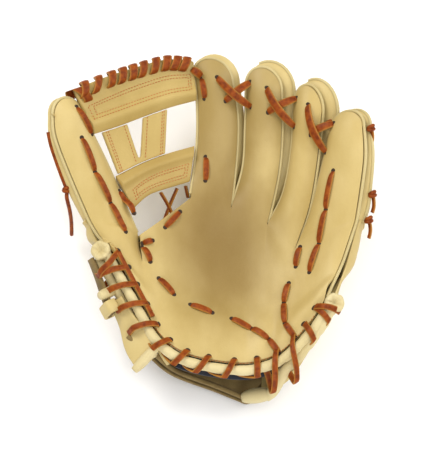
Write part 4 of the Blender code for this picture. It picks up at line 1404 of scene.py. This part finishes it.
def heel_loop(share, pitch):
    """One turn round the heel's edge, as (outwards, depth, normal out, normal up, share of the pitch)."""
    top = -(GAP + HALF_LACE + LACE_SLACK)
    diagonal = ROLL_CLEAR * 0.75
    span = LONG_SPAN / pitch if share in LONG_TURNS else min(1.0, STRAND_SPAN / pitch)
    times = [1 - (1 - t) * span for t in STRAND_PLACES]
    first = (-HOLE_IN, top, -0.4, 1.0, 0.0)
    last = (0.0, ROLL_MIDDLE - ROLL_CLEAR, 0.0, 1.0, times[3])
    if share in LONG_TURNS:
        return [
            first,
            (-HOLE_IN, LEATHER + GAP + HALF_LACE, -0.4, -1.0, 0.0),
            (-0.002, LEATHER + ROLL_CLEAR, 0.0, -1.0, times[0]),
            (LONG_OUT * 0.6, LONG_DOWN + 0.004, 0.2, -1.0, times[0]),
            (LONG_OUT + ROLL_CLEAR, LONG_DOWN, 1.0, 0.0, times[0]),
            (LONG_OUT * 0.7 + ROLL_CLEAR, LONG_DOWN * 0.45, 0.7, 0.7, times[1]),
            (LONG_OUT * 0.25 + diagonal, ROLL_MIDDLE - diagonal * 0.7, 0.6, 0.8, times[2]),
            last,
        ]
    both = share < LACED_TOGETHER
    low = [heel_depth(share + pitch * t) - LEATHER / 2 if both else ROLL_MIDDLE for t in (0.15, times[0])]
    under = (heel_depth(share) + BACK_LACE_SLACK if both else LEATHER) + GAP + HALF_LACE + LACE_SLACK
    step = BACK_EDGE_STEP + BACK_LACE_SLACK if both else 0.0
    return [
        first,
        (-HOLE_IN, under, -0.4, -1.0, 0.0),
        (step, low[0] + ROLL_CLEAR + GAP, 0.0, -1.0, 0.15),
        (step + ROLL_CLEAR + GAP, low[1] + diagonal * 0.5, 1.0, -0.4, times[0]),
        (step + ROLL_CLEAR, ROLL_MIDDLE, 1.0, 0.1, times[1]),
        (diagonal, ROLL_MIDDLE - diagonal, 0.7, 0.7, times[2]),
        last,
    ]


def turned_stations(frame_at, shares, loops):
    """Stations of a lace whipped round a rim, one loop at each share."""
    stations = []
    for k, (share, loop) in enumerate(zip(shares, loops)):
        following = shares[k + 1] if k + 1 < len(shares) else share + (share - shares[k - 1])
        for *shift, t in loop:
            stations.append(station(frame_at(share + (following - share) * t), *shift))
    return stations


heel_loops = [heel_loop(a, b - a) for a, b in zip(HEEL_TURNS, HEEL_TURNS[1:] + (1.0,))]
heel_loops[-1] = heel_loops[-1][:3]
heel_whip = add_band("heel_whip", turned_stations(heel_frame, HEEL_TURNS, heel_loops), LACE_WIDTH)
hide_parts("heel_lace")

# Two more strands: the lace crosses itself at the thumb's rolled end and laps over the little finger's.
AWAY = ROLL_CLEAR + BACK_EDGE_STEP + BACK_LACE_SLACK
END_STRANDS = {
    # heel share, outwards, depth, normal out, normal up
    "thumb_end_strand": (
        (0.074, AWAY + 0.0012, ROLL_MIDDLE + 0.006, 1.0, -0.2),
        (0.066, AWAY + 0.0010, ROLL_MIDDLE, 1.0, 0.2),
        (0.056, ROLL_CLEAR * 0.8, ROLL_MIDDLE - ROLL_CLEAR * 0.95, 0.7, 0.7),
        (0.046, 0.0, ROLL_MIDDLE - ROLL_CLEAR - 0.0012, 0.0, 1.0),
        (0.036, -HOLE_IN, -0.0026, -0.4, 1.0),
        (0.032, -HOLE_IN - 0.001, 0.003, -0.6, 0.8),
    ),
    "little_end_strand": (
        (0.948, -HOLE_IN - 0.001, 0.003, -0.6, 0.8),
        (0.951, -HOLE_IN, -0.0030, -0.4, 1.0),
        (0.962, 0.0, ROLL_MIDDLE - ROLL_CLEAR - 0.0014, 0.0, 1.0),
        (0.972, ROLL_CLEAR * 0.75, ROLL_MIDDLE - ROLL_CLEAR * 0.9, 0.7, 0.7),
        (0.980, ROLL_CLEAR + 0.0012, ROLL_MIDDLE, 1.0, 0.1),
        (0.983, ROLL_CLEAR + 0.0010, ROLL_MIDDLE + 0.007, 1.0, -0.3),
    ),
}
for name, strand in END_STRANDS.items():
    add_band(name, [station(heel_frame(share), *shift) for share, *shift in strand], LACE_WIDTH)

WEB_TURNS = (0.062, 0.140, 0.240, 0.325, 0.417, 0.497, 0.605, 0.717, 0.806, 0.885)
WEB_LACE_GAP = GAP + HALF_LACE + LACE_SLACK
WEB_BACK = WEB_DEPTH + WEB_THICKNESS
WEB_HOLE_IN = WEB_EYELET_INSET + 0.0020
WEB_TURN = (
    # up the front, over the edge and down the back: outwards, depth, normal out, normal up, share of the pitch
    (-WEB_HOLE_IN, WEB_DEPTH + 0.0020, -0.8, 0.6, -0.06),
    (-WEB_HOLE_IN + 0.0016, WEB_DEPTH - WEB_LACE_GAP - 0.0002, -0.2, 1.0, 0.0),
    (-WEB_LACE_GAP * 1.6, WEB_DEPTH - WEB_LACE_GAP - 0.0004, 0.15, 1.0, 0.22),
    (WEB_LACE_GAP * 1.1, WEB_DEPTH - WEB_LACE_GAP / 5, 1.0, 0.7, 0.40),
    (WEB_LACE_GAP * 1.1, WEB_BACK + WEB_LACE_GAP / 5, 1.0, -0.7, 0.55),
    (-WEB_LACE_GAP, WEB_BACK + WEB_LACE_GAP, 0.15, -1.0, 0.72),
    (-WEB_HOLE_IN + 0.0010, WEB_BACK + WEB_LACE_GAP, -0.3, -1.0, 0.95),
)
web_stations = turned_stations(web_frame, WEB_TURNS, [WEB_TURN] * len(WEB_TURNS))
web_whip = add_band("web_whip", web_stations, WEB_LACE_WIDTH * 1.14, LACE_THICKNESS * 1.3)
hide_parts("web_top_lace")

# The web's lace starts over the top bar's outer corner.
CORNER_TURN = (
    # share along the top bar, share across it, lift off its face
    (0.000, 0.80, -0.0105), (0.002, 0.97, -0.0085), (0.004, 1.00, 0.0002), (0.016, 0.99, 0.0026),
    (0.034, 0.95, 0.0030), (0.055, 0.88, 0.0026), (0.068, 0.79, 0.0020), (0.074, 0.70, 0.0008),
    (0.075, 0.65, -0.0025),
)
corner_stations = []
for s, r, lift in CORNER_TURN:
    surface, run, out, up = web_frame(s)
    near, ahead = [bar_face(TOP_BAR, t, min(r, 0.97), lift) for t in (s, s + 0.04)]
    over_edge = out * 0.0012 if r > 0.98 else Vector()
    corner_stations.append((near + over_edge, ahead - near, up, 1.0))
add_band("web_corner_turn", corner_stations, WEB_LACE_WIDTH * 1.35, LACE_THICKNESS * 1.2)

SEWN_WIDTH = 0.0050
SEWN_ARCH = 0.0004
SEWN_PROFILE = (
    # share of the stitch, lift off the palm, share of the width
    (-0.02, -0.0026, 0.50), (0.03, -0.0002, 0.72), (0.14, 0.0010, 0.96), (0.35, 0.0013, 1.06),
    (0.65, 0.0013, 1.06), (0.86, 0.0010, 0.96), (0.97, -0.0002, 0.72), (1.02, -0.0026, 0.50),
)


def arch(t):
    return math.sin(math.pi * min(max(t, 0.0), 1.0))


def sewn_band(name, first, last):
    """One long stitch over the palm's face, pulled down into its hole at each end."""
    a, b = Vector(plan(first)), Vector(plan(last))
    run = (b - a).normalized().to_3d()
    stations = []
    for t, lift, wide in SEWN_PROFILE:
        place = a + (b - a) * t
        facing = palm_normal(*place)
        stations.append((on_palm(tuple(place), lift + SEWN_ARCH * arch(t)), run.cross(facing), facing, wide))
    add_band(name, stations, SEWN_WIDTH)


for name, chain in SEWN_LACES.items():
    for number, (first, last) in enumerate(zip(chain, chain[1:]), 1):
        sewn_band(name + "_" + str(number), first, last)

# Crossed laces over the gaps between fingertips, one strap over the other.
CROSSING_WIDTH = 0.0062
CROSSING_PROFILE = (
    # share of the strap, lift off the leather, share of the width
    (-0.03, -0.0030, 0.55), (0.03, 0.0003, 0.82), (0.14, 0.0016, 1.0), (0.32, 0.0022, 1.08),
    (0.50, 0.0024, 1.10), (0.68, 0.0022, 1.08), (0.86, 0.0016, 1.0), (0.97, 0.0003, 0.82),
    (1.03, -0.0030, 0.55),
)
TIP_LACES = (
    # first strap from x, y to x, y, then second strap from x, y to x, y
    ((-0.119, 0.915), (0.113, 0.773), (-0.073, 0.802), (0.106, 0.894)),
    ((0.249, 0.859), (0.479, 0.652), (0.260, 0.739), (0.490, 0.792)),
    ((0.595, 0.746), (0.730, 0.491), (0.611, 0.595), (0.793, 0.625)),
)


def crossing_band(name, first, last, height, bow):
    """A strap from one fingertip to the next, lifted where it crosses the other and bowed to one side."""
    a, b = plan(first), plan(last)
    start, end = on_palm(a, 0.0), on_palm(b, 0.0)
    facing = (palm_normal(*a) + palm_normal(*b)).normalized()
    across = (end - start).cross(facing).normalized()
    stations = []
    for t, lift, wide in CROSSING_PROFILE:
        centre = start + (end - start) * t + facing * (lift + height * arch(t)) + across * bow * arch(t)
        stations.append((centre, across, facing + across * 0.15 * math.cos(math.pi * t), wide))
    return add_band(name, stations, CROSSING_WIDTH, LACE_THICKNESS * 1.2)


for number, (first_start, first_end, second_start, second_end) in enumerate(TIP_LACES, 1):
    over = crossing_band("tip_cross_over_" + str(number), first_start, first_end, 0.0032, 0.0016)
    crossing_band("tip_cross_under_" + str(number), second_start, second_end, 0.0006, -0.0006)
    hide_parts("fingertip_lace_" + str(number))

# The web's lace goes on over the first finger's corner.
crossing_band("index_corner_lace", (-0.262, 0.948), (-0.206, 0.915), 0.0022, 0.0)


# Punched holes, one at each end of every long stitch and crossing lace and one for each turn of the heel's
# lacing. Each is a shallow dish in the leather's face whose dark colour is painted shade for the inside of the
# hole.
HOLE_RADIUS = 0.0021
HOLE_FLATNESS = 0.22


def hole_tree():
    """Nodes that lay one shallow dish at each point, turned to the point's facing attribute."""
    tree, given = started_tree("punched_holes", {"Radius": "Float", "Finish": "Material"})
    facing = add_node(tree, "GeometryNodeInputNamedAttribute", {"Name": "facing"}, data_type="FLOAT_VECTOR")
    turned = add_node(tree, "FunctionNodeAlignRotationToVector", {"Vector": live(facing)}, axis="Z")
    dish = add_node(tree, "GeometryNodeMeshUVSphere", {"Segments": 12, "Rings": 6, "Radius": 1.0})
    wide = given["Radius"]
    thin = maths(tree, "MULTIPLY", wide, HOLE_FLATNESS)
    flat = add_node(tree, "ShaderNodeCombineXYZ", {"X": wide, "Y": wide, "Z": thin})
    laid = add_node(tree, "GeometryNodeInstanceOnPoints", {
        "Points": given["Geometry"], "Instance": dish.outputs[0], "Rotation": turned.outputs[0],
        "Scale": flat.outputs[0],
    })
    return ended_tree(tree, given, laid.outputs[0])


punched_holes = hole_tree()
# Painted shade: this dark colour stands for the shade inside each punched hole.
hole_dark = new_finish("hole_dark", (0.035, 0.018, 0.008), 0.9)[0]


def add_holes(name, spots, radius):
    """Dishes coloured with painted shade, for the holes' insides, at (point, facing) spots."""
    mesh = bpy.data.meshes.new(name)
    mesh.from_pydata([point for point, facing in spots], [], [])
    facings = mesh.attributes.new("facing", "FLOAT_VECTOR", "POINT")
    facings.data.foreach_set("vector", [c for point, facing in spots for c in facing])
    fix_on(planted(placed(name, mesh), punched_holes, radius=radius, finish=hole_dark))


hole_places = lace_holes + [plan(hole) for row in TIP_LACES for hole in row]
add_holes("palm_holes", [(on_palm(place, 0.0), palm_normal(*place)) for place in hole_places], HOLE_RADIUS)
heel_spots = [
    (on_palm(heel_place(share, HOLE_IN + 0.0006), 0.0), palm_normal(*heel_place(share))) for share in HEEL_TURNS
]
add_holes("heel_holes", heel_spots, HOLE_RADIUS * 1.15)
# Strap at the wrist. The real one is a panel of hide with its napped suede side inwards, sewn behind the
# heel's opening. Its tab runs up beside the thumb's lacing and is held by a small loop of hide.
STRAP_THICKNESS = 0.0026
STRAP_WIDTH = 0.030
TAB_WIDTH = 0.012
KEEPER_WIDTH = 0.007
KEEPER_THICKNESS = 0.0018
STRAP_REACH = 0.0125
STRAP_CLEARANCE = 0.0004
STRAP_EASE = 0.012
STRAP_FIRST = 0.235
TAB_FIRST = 0.01
TAB_LAST = 0.27
KEEPER_PLACE = 0.192
STRAP_LAST = 0.74
STRAP_COLUMNS = 60
STRAP_ROWS = 14


def strap_outer(share):
    return -STRAP_REACH * (1 - smooth((share - STRAP_FIRST) / (0.5 - STRAP_FIRST)))


def back_depth_at(share, v):
    strip = max(k for k in range(6) if ROOTS[k][0] <= share)
    first, last = ROOTS[strip][0], ROOTS[strip + 1][0]
    return hand_back_depth(strip, (share - first) / (last - first), v)


SEEN_STRAP_FIRST = STRAP_FIRST + 0.032
STRAP_TRIM = 0.0075
STRAP_TUCK = 0.014


def trimmed_outer(share):
    """The panel is cut back in a long hollow below the palm, where the hand goes in."""
    hollow = STRAP_TRIM * smooth((share - 0.24) / 0.14) * (1 - smooth((share - 0.50) / 0.13))
    return strap_outer(share) + hollow + STRAP_TUCK * smooth((share - 0.59) / 0.09)


# How far in the panel has to clear the laced edge.
LACED_INSET = BINDING_RADIUS + EYELET_MARGIN + 2 * LACE_THICKNESS


def strap_point(share, inset, stand):
    """A point of the panel, that far in from the heel's edge and standing that far behind the back."""
    v = max(inset, 0.0) / math.dist(heel_place(share), root_place(share))
    place = body_place(share, v, min(inset, 0.0))
    return behind(place, back_depth_at(share, v) + STRAP_CLEARANCE + stand)


def strap_row(r):
    """The panel stands clear of the laced edge and lies against the back further in."""
    row = []
    for share in spread(SEEN_STRAP_FIRST, STRAP_LAST, STRAP_COLUMNS):
        outer = trimmed_outer(share)
        inset = outer + (strap_outer(share) + STRAP_WIDTH - outer) * r
        over_laces = 1 - smooth((inset - LACED_INSET) / STRAP_EASE)
        row.append(strap_point(share, inset, 2 * BINDING_RADIUS * over_laces))
    return row


def suede_finish():
    """The napped side of hide: matt, fibrous and blotched where it has been brushed both ways."""
    made, shader = new_finish("suede", (0.26, 0.18, 0.07), 0.95)
    tree = made.node_tree
    where = tree.nodes.new("ShaderNodeTexCoord").outputs["Object"]
    nap = add_noise(tree, where, 900.0, 4.0)
    brushed = add_noise(tree, where, 70.0, 4.0)
    colour = ramp(tree, brushed, ((0.30, (0.15, 0.10, 0.035)), (0.70, (0.27, 0.19, 0.075))))
    colour = blend(tree, maths(tree, "MULTIPLY", nap, 0.35), colour, (0.11, 0.07, 0.022))
    set_inputs(tree, shader, {
        "Base Color": colour, "Specular IOR Level": 0.15, "Sheen Weight": 0.06, "Sheen Roughness": 0.6,
    })
    add_bumps(tree, shader, ((nap, 0.5, 0.0004), (brushed, 0.3, 0.0010)))
    return made


suede = suede_finish()
panel_rows = [strap_row(r) for r in spread(0.0, 1.0, STRAP_ROWS)]
strap = add_hide("strap", [panel_rows], (0, 0, 1), STRAP_THICKNESS, suede, edge=0.0008)
fix_on(strap, "wrist_strap")


def tab_centre(share):
    """Middle of the strap's tab, on edge beside the panel's outer side: place, run, outwards and up."""
    run, out, up = heel_frame(share)[1:]
    beyond = STRAP_REACH + STRAP_THICKNESS / 2 + 2 * GAP
    depth = heel_depth(STRAP_FIRST) + 2 * BINDING_RADIUS + STRAP_THICKNESS - TAB_WIDTH / 2
    return behind(heel_place(share, -beyond), depth), run, out, up


HIDE_SIDES = (
    # across and up, as shares of half the width and half the thickness
    (-1, -0.5), (-0.9, -1), (0, -1.0), (0.9, -1), (1, -0.5), (1, 0.5), (0.9, 1), (0, 1.1), (-0.9, 1), (-1, 0.5),
)


def add_hide_band(name, stations, thickness, finish, node, closed=False):
    """A flat band of hide with rounded edges through (centre, across, normal, width) stations."""
    verts = []
    for centre, across, normal, width in stations:
        half_wide, half_thick = across.normalized() * width / 2, normal.normalized() * thickness / 2
        verts += [centre + half_wide * side + half_thick * up for side, up in HIDE_SIDES]
    piece = solid(name, verts, wrapped(len(stations), len(HIDE_SIDES), closed), finish)
    return fix_on(piece, node)


TAB_CLOSER = 0.0062
TAB_HIGHER = 0.0040


def tab_at(share):
    """The tab runs closer to the thumb's lacing at its free end."""
    centre, run, out, up = tab_centre(share)
    closer = 1 - smooth(share / (TAB_LAST + 0.02))
    return centre - out * TAB_CLOSER * closer + up * TAB_HIGHER * closer, run, out, up


TAB_TURN = 0.185
tab_stations = []
for share in spread(TAB_FIRST, TAB_TURN, 40):
    centre, run, out, up = tab_at(share)
    grown_wide = smooth(share / TAB_TURN)
    width = TAB_WIDTH * (0.62 + 0.38 * grown_wide)
    tab_stations.append((centre - out * 0.002 * (1 - grown_wide), up, out, width))
# The tab's dark suede colour is partly painted shade, for the band seen edge-on.
add_hide_band("tab", tab_stations, STRAP_THICKNESS, suede, "strap_tab")

# Side panel of the strap, the outer face of the same hide, which leans outwards below the thumb's rolled
# edge. It starts at the keeper and ends in a thick folded corner.
SIDE_FIRST = 0.158
SIDE_LAST = 0.352
side_stations = []
for f in spread(0.0, 1.0, 40):
    share = SIDE_FIRST + (SIDE_LAST - SIDE_FIRST) * f
    surface, run, out, up = heel_frame(share)
    lean = math.radians(20 + 28 * smooth(f))
    across = up * math.cos(lean) - out * math.sin(lean)
    place = behind(heel_place(share, -0.0075 - 0.001 * f), heel_depth(share) * 0.55 + 0.004)
    side_stations.append((place, across, out * math.cos(lean) + up * math.sin(lean), 0.015 + 0.010 * smooth(f)))
add_hide_band("strap_side", side_stations, STRAP_THICKNESS, back_hide, "strap_tab")


FOLD_STEPS = 12
FOLD_SIDES = 16


def add_fold(name, first, last, radius):
    """A short fat roll of folded hide between two points, thickest in the middle and puckered at its ends."""
    first, last = Vector(first), Vector(last)
    run = (last - first).normalized()
    side = run.orthogonal().normalized()
    verts = []
    for k in range(FOLD_STEPS + 1):
        girth = radius * (0.35 + 0.65 * math.sin(math.pi * (k + 0.6) / (FOLD_STEPS + 1.2)) ** 0.45)
        pucker = 1 - math.sin(math.pi * k / FOLD_STEPS)
        for s in range(FOLD_SIDES):
            turn = 2 * math.pi * s / FOLD_SIDES
            reach = girth * (1 - 0.05 * math.cos(turn * 5 + 1.2) * pucker)
            turned = side * math.cos(turn) + run.cross(side) * math.sin(turn)
            verts.append(first.lerp(last, k / FOLD_STEPS) + turned * reach)
    fix_on(solid(name, verts, wrapped(FOLD_STEPS + 1, FOLD_SIDES), cream_roll))


corner_place, corner_across, _, corner_width = side_stations[-1]
corner_run = corner_across * corner_width
add_fold("strap_corner", corner_place + corner_run * 0.5, corner_place - corner_run * 0.60, 0.0044)

SEEN_KEEPER_PLACE = KEEPER_PLACE - 0.022
centre, run, out, up = tab_at(SEEN_KEEPER_PLACE)
half_out = STRAP_THICKNESS / 2 + 2 * GAP + KEEPER_THICKNESS / 2 + 0.0016
half_up = TAB_WIDTH / 2 + 2 * GAP + KEEPER_THICKNESS / 2
keeper_stations = []
for turn in spread(0.0, 2 * math.pi, 28)[:-1]:
    a = half_out * math.copysign(abs(math.cos(turn)) ** 0.5, math.cos(turn))
    b = half_up * math.copysign(abs(math.sin(turn)) ** 0.35, math.sin(turn))
    facing = out * math.cos(turn) * half_up + up * math.sin(turn) * half_out
    keeper_stations.append((centre + out * a + up * b, run, facing, KEEPER_WIDTH * 1.5))
add_hide_band("keeper", keeper_stations, KEEPER_THICKNESS, back_hide, "strap_keeper", closed=True)


# Rolled border of the strap. Its outer edge is turned over a cord and sewn, and it ends in a thick
# folded corner at the thumb's side and a padded swelling at the little finger's.
BORDER_RADIUS = 0.0021


def strap_border(share, inset):
    return strap_point(share, inset, BORDER_RADIUS * 0.3)


strap_edge = [strap_border(share, trimmed_outer(share)) for share in spread(SEEN_STRAP_FIRST, STRAP_LAST, 70)]
strap_roll = grown("strap_roll", [strap_edge], round_piping, radius=BORDER_RADIUS, step=0.003, finish=suede)
fix_on(strap_roll)


fold_centre, _, fold_out, fold_up = tab_at(SEEN_KEEPER_PLACE - 0.036)
fold_start = fold_centre + fold_out * 0.0065 + fold_up * 0.004
add_fold("tab_fold", fold_start, fold_centre - fold_out * 0.010 + fold_up * 0.003, 0.0045)

swelling_foot = strap_border(0.585, trimmed_outer(0.585) - 0.0005)
add_fold("strap_swelling", swelling_foot, little_edge(LITTLE_SIDE_START + 0.020), 0.0062)


# Laces that only show in part: the second lacing beside the thumb's rolled edge, the crossed ends behind
# the web's lower bar, and the short ends and knots on the outer sides of the ring and little fingers.
beside_thumb = []
for share in spread(0.035, 0.250, 8):
    place = heel_place(share, BINDING_RADIUS + BINDING_GAP + 0.0012)
    beside_thumb.append((on_palm(place, 0.0024), heel_frame(share)[2], palm_normal(*place), 1.0))
add_band("thumb_side_lace", beside_thumb, 0.0042)


def short_end(name, start, steps):
    """A short cut end of lace that bends with its own stiffness."""
    points = [Vector(start)]
    for step in steps:
        points.append(points[-1] + Vector(step))
    stations = []
    for k, point in enumerate(points):
        run = (points[min(k + 1, len(points) - 1)] - points[max(k - 1, 0)]).normalized()
        across = run.orthogonal().normalized()
        stations.append((point, across, run.cross(across), 1.0))
    add_band(name, stations, 0.0034)


WEB_ENDS = {
    # its place on the palm, then its steps
    "web_end_1": (
        (-0.42, 0.33), ((0.005, -0.007, -0.006), (0.005, -0.009, -0.006), (0.004, -0.008, -0.004)),
    ),
    "web_end_2": (
        (-0.33, 0.36), ((-0.004, -0.008, -0.004), (-0.004, -0.009, -0.004), (-0.003, -0.008, -0.003)),
    ),
    "web_end_3": ((-0.285, 0.375), ((0.001, -0.004, -0.003), (0.001, -0.004, -0.003))),
}
for name, (place, steps) in WEB_ENDS.items():
    short_end(name, behind(plan(place), WEB_DEPTH + WEB_THICKNESS + 0.0025), steps)


FINGER_ENDS = {
    # finger, place along it and depth behind the palm
    "ring_end": ("ring", 0.90, 0.012),
    "little_end_1": ("little", 0.93, 0.011),
    "little_end_2": ("little", 0.30, 0.017),
    "little_end_3": ("little", 0.05, 0.018),
}
FINGER_END_STEPS = ((0.0012, -0.0042, -0.0022), (0.0002, -0.0045, -0.0030), (-0.0010, -0.0040, -0.0030))
for name, (finger, v, depth) in FINGER_ENDS.items():
    wall = behind(finger_place(finger, 1.0, v, -0.0030), depth)
    short_end(name, wall, FINGER_END_STEPS)
    add_knot(name + "_knot", wall, (0.3, -0.8, -0.4), 0.0016)
